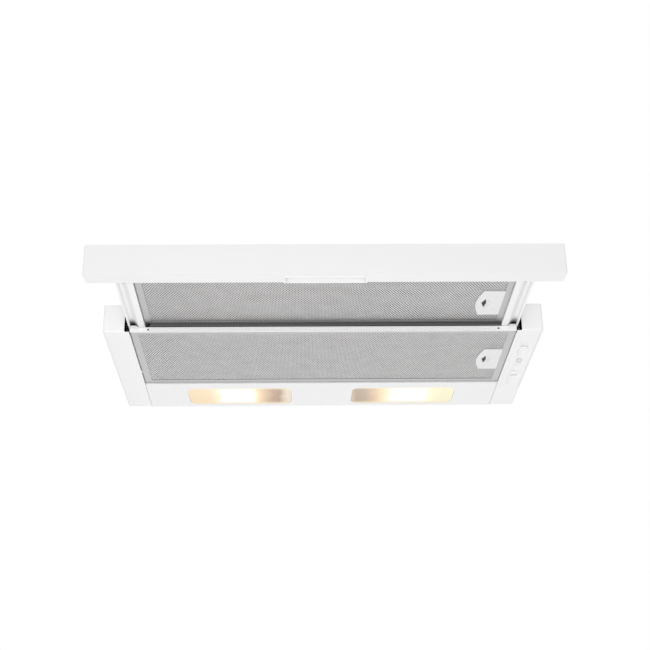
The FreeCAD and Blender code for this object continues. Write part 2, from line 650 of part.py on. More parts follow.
def motor_box():
    """Folded steel wrapper with a sloping front edge and feet turned inwards, between two end plates."""
    body = new_body("motor_box")
    s, c, top = "steel", "box_chamfer", "box_height"
    bevel = f"{s}*tan(22.5)"
    end, back_foot = f"(box_side - {s})", "box_end - box_flange"
    outside = [("box_start", "0"), ("box_end", "0"), ("box_end", top), (f"box_start + {c}", top),
               ("box_start", f"{top} - {c}")]
    inside = [(f"box_start + {s}", s), (f"box_end - {s}", s), (f"box_end - {s}", f"{top} - {s}"),
              (f"box_start + {c} + {bevel}", f"{top} - {s}"), (f"box_start + {s}",
                                                               f"{top} - {c} - {bevel}")]
    pad(body, "box_block", "yz", f"-{end}", end, outside)
    pocket(body, "box_hollow", "yz", f"-{end} - 1", f"{end} + 1", inside)
    pocket(body, "box_foot_opening", "xy", "0", s,
           rect("-box_side", "box_side", "box_start + box_flange", back_foot))
    parts.remove(body)
    body.Label = "box_blank"
    cable_x = "box_side - terminal_width/2 - steel"
    duct_hole = rod("duct_hole", "z", "duct_seat + 0.5", "10", "0", "duct_y", f"{top} - 5")
    cable_hole = rod("cable_hole", "z", "grommet_radius - 1.5", "10", cable_x, "box_end - 30", f"{top} - 5")
    part(cut("box_cut", body, duct_hole, cable_hole), "motor_box")
    for side, start, stop in (("left", "-box_side", f"-{end}"), ("right", end, "box_side")):
        plate = new_body(f"motor_box_end_{side}")
        pad(plate, f"end_plate_{side}", "yz", start, stop, outside)


def outlet_collar():
    """Duct collar: flange, wall and the seat that the flaps close on, with the pin across it."""
    body = new_body("outlet_collar")
    z, seat = "box_height", "box_height + 2"
    inner = "duct_radius - duct_wall"
    outline = [("duct_seat", z), ("duct_flange", z), ("duct_flange", f"{z} + duct_flange_thickness"),
               ("duct_radius", f"{z} + duct_flange_thickness"), ("duct_radius", f"{z} + duct_height"),
               (inner, f"{z} + duct_height"), (inner, seat), ("duct_seat", seat)]
    turned = body.newObject("PartDesign::Revolution", "collar_turned")
    flat = sketch(body, "collar_outline", "xz", "0", outline)
    turned.Profile = flat
    turned.ReferenceAxis = (flat, ["V_Axis"])
    turned.Angle = 360
    bind(body, Placement__Base__y="duct_y")
    parts.remove(body)
    body.Label = "collar_blank"
    pin_z = f"{z} + flap_pin_lift"
    bore = rod("pin_bore", "y", "flap_pin_radius + 0.05", "duct_radius*2 + 2", "0",
               "duct_y - duct_radius - 1", pin_z)
    part(cut("collar_cut", body, bore), "outlet_collar")
    part(rod("pin_rod", "y", "flap_pin_radius", "duct_radius*2 - 1", "0", "duct_y - duct_radius + 0.5",
             pin_z), "flap_pin")


def flap(label, sign, sleeves):
    """Half-round flap that lies on the seat, with sleeves round the pin."""
    z = "box_height + 2 + fit_gap"
    pin_z = "box_height + flap_pin_lift"
    radius = "duct_radius - duct_wall - 0.7"
    disc = rod(f"{label}_disc", "z", radius, "flap_thickness", "0", "duct_y", z)
    half = box(f"{label}_half", ("0.6", "duct_radius") if sign > 0 else ("-duct_radius", "-0.6"),
               ("duct_y - duct_radius", "duct_y + duct_radius"), (z, f"{z} + flap_thickness"))
    plate = doc.addObject("Part::Common", f"{label}_plate")
    plate.Base, plate.Tool = disc, half
    barrels, bores = [], []
    for i, (start, end) in enumerate(sleeves):
        y = f"duct_y + {start}"
        barrels.append(rod(f"{label}_sleeve_{i}", "y", "flap_sleeve", f"{end - start}", "0", y, pin_z))
        arm = ("0.6", "flap_sleeve") if sign > 0 else ("-flap_sleeve", "-0.6")
        barrels.append(box(f"{label}_arm_{i}", arm, (y, f"{y} + {end - start}"), (z, pin_z)))
        bores.append(rod(f"{label}_bore_{i}", "y", "flap_pin_radius + 0.15", f"{end - start} + 2", "0",
                         f"{y} - 1", pin_z))
    part(cut(f"{label}_cut", fuse(f"{label}_blank", plate, *barrels), *bores), label)


def flaps():
    """The two flaps share the pin, so their sleeves take turns along it."""
    flap("flap_left", -1, [(-50, -34), (2, 18)])
    flap("flap_right", 1, [(-18, -2), (34, 50)])


def scroll_face(inset):
    """Spiral of the blower casing and its duct in the plane X = 0, shrunk by a wall."""
    axis = FreeCAD.Vector(0, number("axis_y"), number("axis_z"))
    small, large, begin = number("scroll_cutoff"), number("scroll_mouth"), number("scroll_cutoff_angle")
    steps = 24
    points = []
    for i in range(steps + 1):
        turn = math.radians(begin + (360 - begin) * i / steps)
        radius = small + (large - small) * i / steps - inset
        points.append(axis + FreeCAD.Vector(0, radius * math.cos(turn), radius * math.sin(turn)))
    spiral = Part.BSplineCurve()
    spiral.interpolate(points)
    top = number("box_height - steel")
    far = FreeCAD.Vector(0, points[-1].y, top)
    near = FreeCAD.Vector(0, number("axis_y + scroll_throat") + inset, top)
    sides = [Part.makeLine(points[-1], far), Part.makeLine(far, near), Part.makeLine(near, points[0])]
    return Part.Face(Part.Wire([spiral.toShape()] + sides))


def blower_casing():
    """Two moulded halves of a scroll, split on the middle plane, each with a round air inlet."""
    wall, end = number("scroll_wall"), number("case_end")
    whole = scroll_face(0).extrude(FreeCAD.Vector(end, 0, 0))
    room = scroll_face(wall).extrude(FreeCAD.Vector(end - wall, 0, 0))
    axis = FreeCAD.Vector(-1, number("axis_y"), number("axis_z"))
    inlet = Part.makeCylinder(number("inlet_radius"), end + 2, axis, FreeCAD.Vector(1, 0, 0))
    right = doc.addObject("Part::Feature", "casing_right_half")
    right.Shape = whole.cut(room).cut(inlet)
    part(right, "blower_casing_right")
    part(mirror("casing_left_half", right), "blower_casing_left")


def impeller():
    """Double inlet wheel: middle disc and hub, an end ring each side and forward-curved blades."""
    body = new_body("impeller")
    r, depth, half = "impeller_radius", "impeller_blade", "impeller_length/2"
    hub = doc_ring(body, "impeller_disc", "-1", "1", r, "shaft_radius + 0.02")
    doc_ring(body, "impeller_hub", "-9", "9", "shaft_radius + 6", "shaft_radius + 0.02")
    doc_ring(body, "end_ring_left", f"-{half}", f"-{half} + 2.5", r, f"{r} - {depth}")
    doc_ring(body, "end_ring_right", f"{half} - 2.5", half, r, f"{r} - {depth}")
    outline = [("-0.5", f"{r} - 0.6"), ("0.7", f"{r} - 0.6"), ("3.6", f"{r} - {depth} + 0.6"),
               ("2.4", f"{r} - {depth} + 0.6")]
    blade = pad(body, "blade", "yz", f"-{half} + 1", f"{half} - 1", outline)
    ring = body.newObject("PartDesign::PolarPattern", "blade_ring")
    ring.Originals = [blade]
    axis = [p for p in body.Origin.OriginFeatures if p.Role == "X_Axis"][0]
    ring.Axis = (axis, [""])
    ring.Angle = 360
    ring.Occurrences = 36
    body.Tip = ring
    bind(body, Placement__Base__y="axis_y", Placement__Base__z="axis_z")
    return hub


def doc_ring(body, name, start, end, outer, inner):
    """A ring about the body's X axis between two places."""
    made = body.newObject("PartDesign::Pad", name)
    flat = body.newObject("Sketcher::SketchObject", name + "_outline")
    plane = [p for p in body.Origin.OriginFeatures if p.Role == "YZ_Plane"][0]
    flat.AttachmentSupport = [(plane, "")]
    flat.MapMode = "FlatFace"
    bind(flat, AttachmentOffset__Base__z=start)
    for index, radius in enumerate((outer, inner)):
        flat.addGeometry(Part.Circle(FreeCAD.Vector(), FreeCAD.Vector(0, 0, 1), number(radius)))
        flat.addConstraint(Sketcher.Constraint("Coincident", index, 3, -1, 1))
        rule = flat.addConstraint(Sketcher.Constraint("Radius", index, number(radius)))
        flat.setExpression(f"Constraints[{rule}]", formula(radius))
    made.Profile = flat
    return bind(made, Length=f"({end}) - ({start})")


def motor():
    """Motor body on a bracket, with three posts to the casing, rubber rings and the shaft."""
    face, y, z = "motor_face", "axis_y", "axis_z"
    can = rod("motor_can", "x", "motor_radius", "motor_length", face, y, z)
    boss = rod("motor_boss", "x", "12", "6", f"{face} - 6", y, z)
    bore = rod("motor_bore", "x", "shaft_radius + 0.05", "motor_length*0.6 + 8", f"{face} - 7", y, z)
    part(cut("motor_cut", fuse("motor_blank", can, boss), bore), "motor_body")
    start = "-impeller_length/2 - 3"
    part(rod("shaft_rod", "x", "shaft_radius", f"{face} + motor_length*0.5 - ({start})", start, y, z),
         "motor_shaft")
    plate_x = f"{face} + 4"
    disc = rod("bracket_disc", "x", "bracket_radius", "bracket_thickness", plate_x, y, z)
    hole = rod("bracket_hole", "x", "motor_radius + 0.02", "bracket_thickness + 2", f"{plate_x} - 1", y, z)
    posts, rings = [], []
    for i in range(3):
        turn = 30 + 120 * i
        py = f"{y} + post_circle*cos({turn})"
        pz = f"{z} + post_circle*sin({turn})"
        posts.append(rod(f"post_{i}", "x", "post_radius", f"{face} + 4 - 3 - case_end", "case_end", py, pz))
        ring = rod(f"rubber_{i}", "x", "post_radius + 1.5", "3", f"{plate_x} - 3", py, pz)
        rings.append(ring)
    part(cut("bracket_cut", disc, hole), "motor_bracket")
    part(group("bracket_posts_group", *posts), "bracket_posts")
    part(group("rubber_group", *rings), "rubber_mounts")


def electrics():
    """Terminal box and run capacitor on the motor box's right wall, and the grommet for the cable."""
    wall = "box_side - steel"
    top = "box_height - steel - 6"
    outer = box("terminal_outer", (f"{wall} - terminal_width", wall),
                ("box_end - 20 - terminal_length", "box_end - 20"),
                (f"{top} - terminal_height", top))
    inner = box("terminal_inner", (f"{wall} - terminal_width + plastic", f"{wall} - plastic"),
                ("box_end - 20 - terminal_length + plastic", "box_end - 20 - plastic"),
                (f"{top} - terminal_height + plastic", f"{top} - plastic"))
    hole = rod("terminal_cable_hole", "z", "cable_radius + 1", "plastic*3",
               "box_side - terminal_width/2 - steel",
               "box_end - 30", f"{top} - plastic*2")
    part(cut("terminal_cut", outer, inner, hole), "terminal_box")
    cap_x, cap_y = f"{wall} - capacitor_radius - 1.2", "box_start + 45"
    part(rod("capacitor_can", "z", "capacitor_radius", "capacitor_length", cap_x, cap_y, "30"), "capacitor")
    outside = rod("strap_outside", "z", "capacitor_radius + 1.2", "12", cap_x, cap_y, "48")
    inside = rod("strap_inside", "z", "capacitor_radius + 0.02", "14", cap_x, cap_y, "47")
    part(cut("strap_cut", outside, inside), "capacitor_strap")
    gx, gy = "box_side - terminal_width/2 - steel", "box_end - 30"
    z = "box_height - steel/2 - grommet_length/2"
    body = rod("grommet_body", "z", "grommet_radius", "grommet_length", gx, gy, z)
    ring = cut("grommet_groove",
               rod("groove_outer", "z", "grommet_radius + 1", "steel", gx, gy, "box_height - steel"),
               rod("groove_inner", "z", "grommet_radius - 1.6", "steel + 2", gx, gy,
                   "box_height - steel - 1"))
    bore = rod("grommet_bore", "z", "cable_radius", "grommet_length + 2", gx, gy, f"{z} - 1")
    part(cut("grommet_cut", body, ring, bore), "cable_grommet")


def visor_switch():
    """Switch block under the deck, with an ear over the lever that the closed visor reaches."""
    x0, x1 = "rail_inner - 18", "rail_inner - 4"
    lever_y = "tail + travel + fit_gap"
    block = box("switch_block", (x0, x1), (f"{lever_y} + 1 + lever_room", f"{lever_y} + 15"),
                ("rail_top - 4", "deck"))
    ear = box("switch_ear", (x0, x1), (f"{lever_y} - 0.5", f"{lever_y} + 1 + lever_room"),
              ("rail_top + 9.5", "deck"))
    part(fuse("switch_blank", block, ear), "visor_switch")
    blade = box("lever_blade", (f"{x0} + 2", f"{x1} - 2"), (lever_y, f"{lever_y} + 1"),
                ("rail_top - 3", "rail_top + 8"))
    eye = rod("lever_eye", "x", "1.2", "10", f"{x0} + 2", f"{lever_y} + 1.2", "rail_top + 8")
    part(fuse("lever_blank", blade, eye), "switch_lever")


# ---------------------------------------------------------------- the visor


def front_panel():
    """Hollow front panel, open at the back, with the grip's opening in its underside."""
    body = new_body("front_panel")
    half, wall = "body_width/2", "panel_wall"
    pad(body, "panel_block", "xy", "panel_floor", "panel_top",
        rect(f"-{half}", half, "panel_front", "panel_back"))
    round_edges(body, "panel_corners", "panel_rounding", lambda p, d: along(d, "z"))
    middle = number("(panel_front + panel_back)/2")
    round_edges(body, "panel_rim", "panel_rounding*0.6",
                lambda p, d: p.y < middle + 13 and (p.z < number("panel_floor") + 0.01
                                                    or p.z > number("panel_top") - 0.01))
    pocket(body, "panel_hollow", "xz", f"panel_front + {wall}", "panel_back",
           rect(f"-{half} + {wall}", f"{half} - {wall}", f"panel_floor + {wall}", f"panel_top - {wall}"))
    pocket(body, "grip_opening", "xy", "panel_floor", f"panel_floor + {wall}",
           rect("-grip_width/2 + grip_border - 0.3", "grip_width/2 - grip_border + 0.3",
                "grip_front + grip_border - 0.3", "panel_back - panel_wall - fit_gap"))


def panel_back_plate():
    """Steel plate that closes the panel and carries the rails and the cover."""
    wall = "panel_wall"
    return part(box("back_plate_sheet", (f"-body_width/2 + {wall} + 0.1", f"body_width/2 - {wall} - 0.1"),
                    (f"panel_back - {wall}", "panel_back"), (f"panel_floor + {wall} + 0.1",
                                                             f"panel_top - {wall} - 0.1")),
                "panel_back_plate")


def pull_grip():
    """Moulded grip: a rim under the panel round a finger recess."""
    half, border = "grip_width/2", "grip_border"
    rim_y1 = "panel_back + 1"
    recess_y1 = "panel_back - panel_wall - fit_gap*2"
    rim = new_body("grip_rim_ring")
    parts.remove(rim)
    pad(rim, "grip_rim_block", "xy", "panel_floor - grip_rim", "panel_floor",
        rect(f"-{half}", half, "grip_front", rim_y1))
    round_edges(rim, "grip_rim_corners", "2.4", lambda p, d: along(d, "z"))
    round_edges(rim, "grip_rim_edge", "0.6", lambda p, d: p.z < number("panel_floor - grip_rim") + 0.01)
    cup = box("grip_cup", (f"-({half} - {border})", f"{half} - {border}"),
              (f"grip_front + {border}", recess_y1),
              ("panel_floor", "panel_floor + grip_recess"))
    room = box("grip_room", (f"-({half} - {border} - 1.5)", f"{half} - {border} - 1.5"),
               (f"grip_front + {border} + 1.5", f"{recess_y1} - 1.5"),
               ("panel_floor - grip_rim - 1", "panel_floor + grip_recess - 1.5"))
    part(cut("grip_cut", fuse("grip_blank", rim, cup), room), "pull_grip")


def rail():
    """Moulded rail: flat foot beside the filter, coved guide channel and a box chamber above the foot."""
    body = new_body("rail_left")
    outline = [("rail_inner", "rail_floor"), ("channel_in", "rail_floor"), ("channel_in", "channel_top"),
               ("channel_out", "channel_top"), ("channel_out", "rail_floor"), ("rail_outer", "rail_floor"),
               ("rail_outer", "rail_top"), ("rail_inner", "rail_top")]
    pad(body, "rail_section", "xz", "panel_back", "tail", [(f"-({u})", v) for u, v in outline])
    cove_x, cove_z = number("channel_in"), number("channel_top")
    round_edges(body, "rail_cove_fillet", "rail_cove_rounding",
                lambda p, d: along(d, "y") and abs(abs(p.x) - cove_x) < 0.01 and abs(p.z - cove_z) < 0.01)
    chamber = rect("-(channel_in - 1.5)", "-(rail_inner + 1.5)", "rail_floor + 1.5", "rail_top - 1.5")
    pocket(body, "rail_chamber", "xz", "panel_back", "tail", chamber)
    pocket(body, "rail_upper_chamber", "xz", "panel_back", "tail",
           rect("-(rail_outer - 1.5)", "-channel_in", "channel_top + 1.5", "rail_top - 1.5"))
    blank = part(mirror("rail_other_hand", body), "rail_right")
    top = "visor_filter_floor - fit_gap"
    middle = "(visor_filter_start + visor_filter_end)/2"
    tabs = []
    for index, sign in enumerate(("-", "+")):
        centre = f"{middle} {sign} hook_spacing*0.4"
        tabs.append(box(f"rail_hook_{index}", ("-rail_inner - 0.5", "-rail_inner + hook_reach"),
                        (f"{centre} - hook_length/2",
                         f"{centre} + hook_length/2"), (f"{top} - hook_thickness", top)))
    parts.remove(body)
    body.Label = "rail_blank"
    part(fuse("rail_hooked", body, *tabs), "rail_left")
    return blank


def visor_fittings():
    """Cover sheet over the rails, nylon glides in their back ends and the screws that hold the panel."""
    part(box("cover_sheet", ("-rail_outer", "rail_outer"), ("panel_back", "tail"),
             ("rail_top", "rail_top + steel")),
         "visor_cover")
    glide = box("glide_block", ("-channel_out + 0.2", "-channel_in - 3"), ("tail - glide_length", "tail"),
                ("rail_floor", "channel_top - 1.5"))
    part(glide, "rear_glide_left")
    part(mirror("glide_other_hand", glide), "rear_glide_right")
    heads = [rod(f"panel_screw_{side}", "z", "small_head", "small_head_height",
                 f"{sign}(channel_out - small_head - 0.3)",
                 "panel_back + 6", "channel_top - small_head_height") for side, sign in (("left", "-"),
                                                                                         ("right", ""))]
    part(group("panel_screw_group", *heads), "panel_screws")


# ---------------------------------------------------------------- the grease filters


def filter_cassette(name, floor, top, out, start, end):
    """Folded aluminium border, mesh pad and sliding latch of one filter, hinged on its left edge."""
    centre = f"(({start}) + ({end}))/2 + latch_shift"
    border, gap = "filter_border", "fit_gap"
    tongue_z0, tongue_z1 = f"{floor} + filter_recess + 0.6", f"{floor} + filter_recess + 0.6 + latch_tongue"
    frame = new_body(f"{name}_blank")
    parts.remove(frame)
    pad(frame, f"{name}_block", "xy", floor, top, rect(f"-({out})", out, start, end))
    left = -number(out)
    round_edges(frame, f"{name}_bead", "filter_thickness*0.49",
                lambda p, d: along(d, "y") and p.x < left + 0.01)
    pocket(frame, f"{name}_window", "xy", floor, top,
           rect(f"-({out}) + {border}", f"{out} - {border}", f"{start} + {border}", f"{end} - {border}"))
    slot = box(f"{name}_slot", (f"{out} - {border} - 1", f"{out} + 1"),
               (f"{centre} - latch_tongue_width/2 - {gap}", f"{centre} + latch_tongue_width/2 + {gap}"),
               (f"{tongue_z0} - {gap}", f"{tongue_z1} + {gap}"))
    part(cut(f"{name}_frame_cut", frame, slot), f"{name}_frame")
    pad_block = box(f"{name}_pad", (f"-({out}) + {border}", f"{out} - {border}"),
                    (f"{start} + {border}", f"{end} - {border}"), (f"{floor} + filter_recess",
                                                                   f"{top} - 0.4"))
    room = box(f"{name}_latch_room", (f"{out} - {border} - latch_travel - 12", f"{out}"),
               (f"{centre} - latch_tongue_width/2 - {gap}", f"{centre} + latch_tongue_width/2 + {gap}"),
               (f"{floor} - 1", f"{tongue_z1} + {gap}"))
    part(cut(f"{name}_mesh_cut", pad_block, room), f"{name}_mesh")
    latch(name, floor, f"{out} - {border} - 0.2", f"{out} + filter_side_gap - {gap}", centre, tongue_z0,
          tongue_z1)


def latch(name, floor, edge, tip, centre, tongue_z0, tongue_z1):
    """Latch plate with one rounded side and a diamond finger hole, and the tongue through the border."""
    z0 = f"{floor} - latch_proud"
    z1 = f"{z0} + latch_plate"
    start, half = f"{edge} - latch_width", "latch_length/2"
    flat = box(f"{name}_plate", (start, edge), (f"{centre} - {half}", f"{centre} + {half}"), (z0, z1))
    radius = "(latch_length/2)*1.04"
    disc = rod(f"{name}_disc", "z", radius, f"({z1}) - ({z0})", f"{start} + {radius}", centre, z0)
    rest = box(f"{name}_rest", (f"{start} + latch_rounding/2", edge),
               (f"{centre} - {half}", f"{centre} + {half}"), (z0, z1))
    plate = doc.addObject("Part::Common", f"{name}_rounded")
    plate.Base, plate.Tool = flat, fuse(f"{name}_round_blank", disc, rest)
    rib = box(f"{name}_rib", (f"{edge} - 8", f"{edge}"),
              (f"{centre} - latch_tongue_width/2", f"{centre} + latch_tongue_width/2"), (z0, tongue_z1))
    tongue = box(f"{name}_tongue", (f"{edge} - 8", tip),
                 (f"{centre} - latch_tongue_width/2", f"{centre} + latch_tongue_width/2"), (tongue_z0,
                                                                                            tongue_z1))
    hole_body = doc.addObject("PartDesign::Body", f"{name}_diamond")
    w, h = "finger_hole_width/2", "finger_hole_length/2"
    x = f"{start} + 12.5"
    pad(hole_body, f"{name}_diamond_pad", "xy", f"{z0} - 1", f"{z1} + 0.5",
        [(f"{x} - {w}", f"{centre} - {h}*0.35"), (f"{x} + {w}*0.35", f"{centre} - {h}"),
         (f"{x} + {w}", f"{centre} - {h}*0.1"), (f"{x} - {w}*0.2", f"{centre} + {h}")])
    ridge_out = rod(f"{name}_ridge_out", "z", "13", "0.5", f"{x} - 6", centre, f"{z0} - 0.5")
    ridge_in = rod(f"{name}_ridge_in", "z", "12", "1.5", f"{x} - 6", centre, f"{z0} - 1")
    ridge_side = box(f"{name}_ridge_side", (f"{x} + 2", f"{x} + 8"), (f"{centre} - 9", f"{centre} + 9"),
                     (f"{z0} - 1", z0))
    ridge = doc.addObject("Part::Common", f"{name}_ridge")
    ridge.Base, ridge.Tool = cut(f"{name}_ridge_ring", ridge_out, ridge_in), ridge_side
    whole = fuse(f"{name}_latch_blank", plate, rib, tongue, ridge)
    part(cut(f"{name}_latch_cut", whole, hole_body), f"{name}_latch")


def write_parts():
    """Checks every object, then writes one STEP file for each sub-part."""
    doc.recompute()
    for thing in doc.Objects:
        if "Invalid" in thing.State or "Error" in thing.State:
            raise RuntimeError(f"{thing.Name} did not build: {thing.State}")
    os.makedirs("parts", exist_ok=True)
    for thing in parts:
        shape = thing.Shape
        if shape.isNull() or not shape.isValid() or not shape.Solids:
            raise RuntimeError(f"{thing.Label} has no valid solid")
        shape.exportStep(os.path.join("parts", thing.Label + ".step"))
    print(len(parts), "sub-parts written")


base_chassis()
left_side_cap()
right_side_cap()
front_crossbar()
front_guide()
light_panel()
lamp_cover()
lamp_set()
control_plate()
slide_switches()
motor_box()
outlet_collar()
flaps()
blower_casing()
impeller()
motor()
electrics()
visor_switch()
front_panel()
panel_back_plate()
pull_grip()
rail()
visor_fittings()
filter_cassette("body_filter", "filter_floor", "filter_top", "filter_out", "filter_start", "filter_end")
filter_cassette("visor_filter", "visor_filter_floor", "visor_filter_top", "visor_filter_out",
                "visor_filter_start", "visor_filter_end")
write_parts()
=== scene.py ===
import math

import bmesh
import bpy
from mathutils import Matrix, Vector


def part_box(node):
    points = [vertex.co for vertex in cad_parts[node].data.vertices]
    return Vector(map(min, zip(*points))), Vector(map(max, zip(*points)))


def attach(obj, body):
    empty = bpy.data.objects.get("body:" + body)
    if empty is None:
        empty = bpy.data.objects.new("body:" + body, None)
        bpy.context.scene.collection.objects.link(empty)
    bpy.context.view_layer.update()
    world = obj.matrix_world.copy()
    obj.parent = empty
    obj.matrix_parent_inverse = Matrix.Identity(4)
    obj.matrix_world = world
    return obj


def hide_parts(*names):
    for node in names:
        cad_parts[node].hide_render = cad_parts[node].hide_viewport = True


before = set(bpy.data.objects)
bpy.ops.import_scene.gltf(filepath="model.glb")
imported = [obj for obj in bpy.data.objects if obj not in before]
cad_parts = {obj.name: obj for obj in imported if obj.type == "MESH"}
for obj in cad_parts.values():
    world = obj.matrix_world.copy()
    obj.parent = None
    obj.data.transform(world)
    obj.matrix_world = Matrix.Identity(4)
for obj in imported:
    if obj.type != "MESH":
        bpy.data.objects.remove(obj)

bl_info = {
    "name": "Telescopic Range Hood",
    "version": (1, 0, 0),
    "blender": (4, 5, 0),
    "location": "3D View > Sidebar > Range Hood",
    "description": "Builds the visible pieces and finishes of a pull-out under cabinet range hood",
    "category": "Object",
}

MM = 0.001
# How far a cutter stands clear of a face that it opens.
CLEAR = 1 * MM
BOX = {name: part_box(name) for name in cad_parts}
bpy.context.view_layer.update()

PANEL_LO, PANEL_HI = BOX["front_panel"]
CHASSIS_LO, CHASSIS_HI = BOX["base_chassis"]
FRONT, BACK, FLOOR = CHASSIS_LO.y, CHASSIS_HI.y, CHASSIS_LO.z
HALF = CHASSIS_HI.x
CAP_INNER = BOX["right_side_cap"][0].x
RAIL_LO, RAIL_HI = BOX["rail_right"]


# ---------------------------------------------------------------- sizes and colours that a user may change


def srgb(code):
    """A hex colour as linear red, green, blue and alpha."""
    channels = [int(code[i:i + 2], 16) / 255 for i in (0, 2, 4)]
    return tuple(c / 12.92 if c <= 0.04045 else ((c + 0.055) / 1.055) ** 2.4 for c in channels) + (1.0,)


def colour_property(name, description, code):
    """A colour swatch whose default is a hex colour."""
    return bpy.props.FloatVectorProperty(name=name, description=description, subtype="COLOR", size=4,
                                         min=0, max=1, default=srgb(code))


def length_property(name, description, millimetres):
    """A length whose default is given in millimetres."""
    return bpy.props.FloatProperty(name=name, description=description, subtype="DISTANCE", unit="LENGTH",
                                   min=0, precision=5, default=millimetres * MM)


class HoodSizes(bpy.types.PropertyGroup):
    """Sizes of the visible detail. The mesh is drawn somewhat coarser than real expanded aluminium."""
    panel_corner: length_property("Panel corner", "Rounding of the front panel's front corners", 1.5)
    panel_back_corner: length_property("Panel back corner", "Rounding of the front panel's back corners", 4.0)
    mesh_across: length_property("Mesh pitch across", "Width of one diamond of the filter mesh", 3.8)
    mesh_deep: length_property("Mesh pitch deep", "Length of one diamond of the filter mesh", 6.4)
    mesh_strand: length_property("Mesh strand", "Half the width of a strand of the mesh", 0.62)
    mesh_relief: length_property("Mesh relief", "Depth of the mesh's strands", 0.3)


class HoodColours(bpy.types.PropertyGroup):
    """Colours of the finishes."""
    enamel: colour_property("Enamel", "White enamel on the steel", "F2F2F2")
    moulding: colour_property("Moulding", "White moulded plastic", "FBFBFB")
    latch: colour_property("Latch", "Pale grey plastic of the filter latches", "F0F0F0")
    border: colour_property("Filter border", "Folded aluminium border", "B9B9B9")
    strand: colour_property("Filter mesh", "Expanded aluminium strands", "EEEEEE")
    # The dark grey of the filter layers is painted shade deep in the stacked mesh.
    layer: colour_property("Filter layers", "Aluminium layers behind the mesh", "626262")
    # This black also stands as painted shade: it lines the cap ports and darkens the bar's holes, the rail tracks and
    # the gaps behind the slide knobs.
    shade: colour_property("Seals", "Black felt and foam seals", "050505")


class HoodLight(bpy.types.PropertyGroup):
    """Strengths of the lamps and of the studio light."""
    lamp: bpy.props.FloatProperty(name="Lamp covers", description="Glow of the lit lamp covers", min=0, default=0.92)
    near: bpy.props.FloatProperty(name="Studio, near side", description="Brightness of the surroundings in front",
                                  min=0, default=1.01)
    far: bpy.props.FloatProperty(name="Studio, far side", description="Brightness of the surroundings behind",
                                 min=0, default=0.4)
    fill: bpy.props.FloatProperty(name="Fill light", description="Power of the soft light below the front",
                                  unit="POWER", min=0, default=15.0)
    top: bpy.props.FloatProperty(name="Top light", description="Power of the soft light above and behind",
                                 unit="POWER", min=0, default=7.0)
    rim: bpy.props.FloatProperty(name="Rear light", description="Power of the soft light low down behind",
                                 unit="POWER", min=0, default=12.5)


def sizes():
    """The sizes that the panel shows."""
    return bpy.context.scene.hood_sizes


def colours():
    """The colours that the panel shows."""
    return bpy.context.scene.hood_colours


# ---------------------------------------------------------------- shapes


def place(bm, verts, scale=(1, 1, 1), shift=(0, 0, 0)):
    """Scales, then moves, part of a shape."""
    bmesh.ops.scale(bm, vec=Vector(scale), verts=verts)
    bmesh.ops.translate(bm, vec=Vector(shift), verts=verts)
    return verts


def slab(bm, low, high):
    """A block between two corners."""
    low, high = Vector(low), Vector(high)
    made = bmesh.ops.create_cube(bm, size=1.0)["verts"]
    return place(bm, made, high - low, (low + high) / 2)


AXES = {"x": (1, 2, 0), "y": (0, 2, 1), "z": (0, 1, 2)}


def prism(bm, outline, axis, start, end, rounding=0.0, segments=6):
    """An outline across an axis, its corners rounded if asked, drawn out between two places."""
    u, v, w = AXES[axis]
    corners = []
    for point in outline:
        spot = [0.0, 0.0, 0.0]
        spot[u], spot[v], spot[w] = point[0], point[1], start
        corners.append(bm.verts.new(spot))
    face = bm.faces.new(corners)
    if rounding:
        made = bmesh.ops.bevel(bm, geom=corners, offset=rounding, segments=segments, profile=0.5,
                               affect="VERTICES", material=-1)
        face = max((f for f in bm.faces if all(abs(p.co[w] - start) < 1e-7 for p in f.verts)
                    and any(p in made["verts"] for p in f.verts)), key=lambda f: f.calc_area())
    drawn = bmesh.ops.extrude_face_region(bm, geom=[face])["geom"]
    way = [0.0, 0.0, 0.0]
    way[w] = end - start
    bmesh.ops.translate(bm, vec=Vector(way), verts=[g for g in drawn if isinstance(g, bmesh.types.BMVert)])


def rectangle(x0, x1, y0, y1):
    """The four corners of an upright rectangle."""
    return [(x0, y0), (x1, y0), (x1, y1), (x0, y1)]


def barrel(bm, axis, radius, start, end, across, segments=32):
    """A closed round bar along an axis."""
    u, v, w = AXES[axis]
    turn = {"x": Matrix.Rotation(math.pi / 2, 3, "Y"), "y": Matrix.Rotation(math.pi / 2, 3, "X"),
            "z": Matrix.Identity(3)}[axis]
    made = bmesh.ops.create_cone(bm, cap_ends=True, segments=segments, radius1=radius, radius2=radius,
                                 depth=abs(end - start))["verts"]
    bmesh.ops.rotate(bm, cent=(0, 0, 0), matrix=turn, verts=made)
    centre = [0.0, 0.0, 0.0]
    centre[u], centre[v], centre[w] = across[0], across[1], (start + end) / 2
    bmesh.ops.translate(bm, vec=Vector(centre), verts=made)
    return made


def mirrored(bm):
    """Turns a shape into its other hand, across the middle of the hood."""
    bmesh.ops.scale(bm, vec=Vector((-1, 1, 1)), verts=bm.verts)


def to_object(name, bm, tidy=True):
    """A mesh object from a shape, with its faces pointing outwards."""
    if tidy:
        bmesh.ops.remove_doubles(bm, verts=bm.verts, dist=1e-7)
        bmesh.ops.recalc_face_normals(bm, faces=bm.faces)
    mesh = bpy.data.meshes.new(name)
    bm.to_mesh(mesh)
    bm.free()
    made = bpy.data.objects.new(name, mesh)
    bpy.context.scene.collection.objects.link(made)
    return made


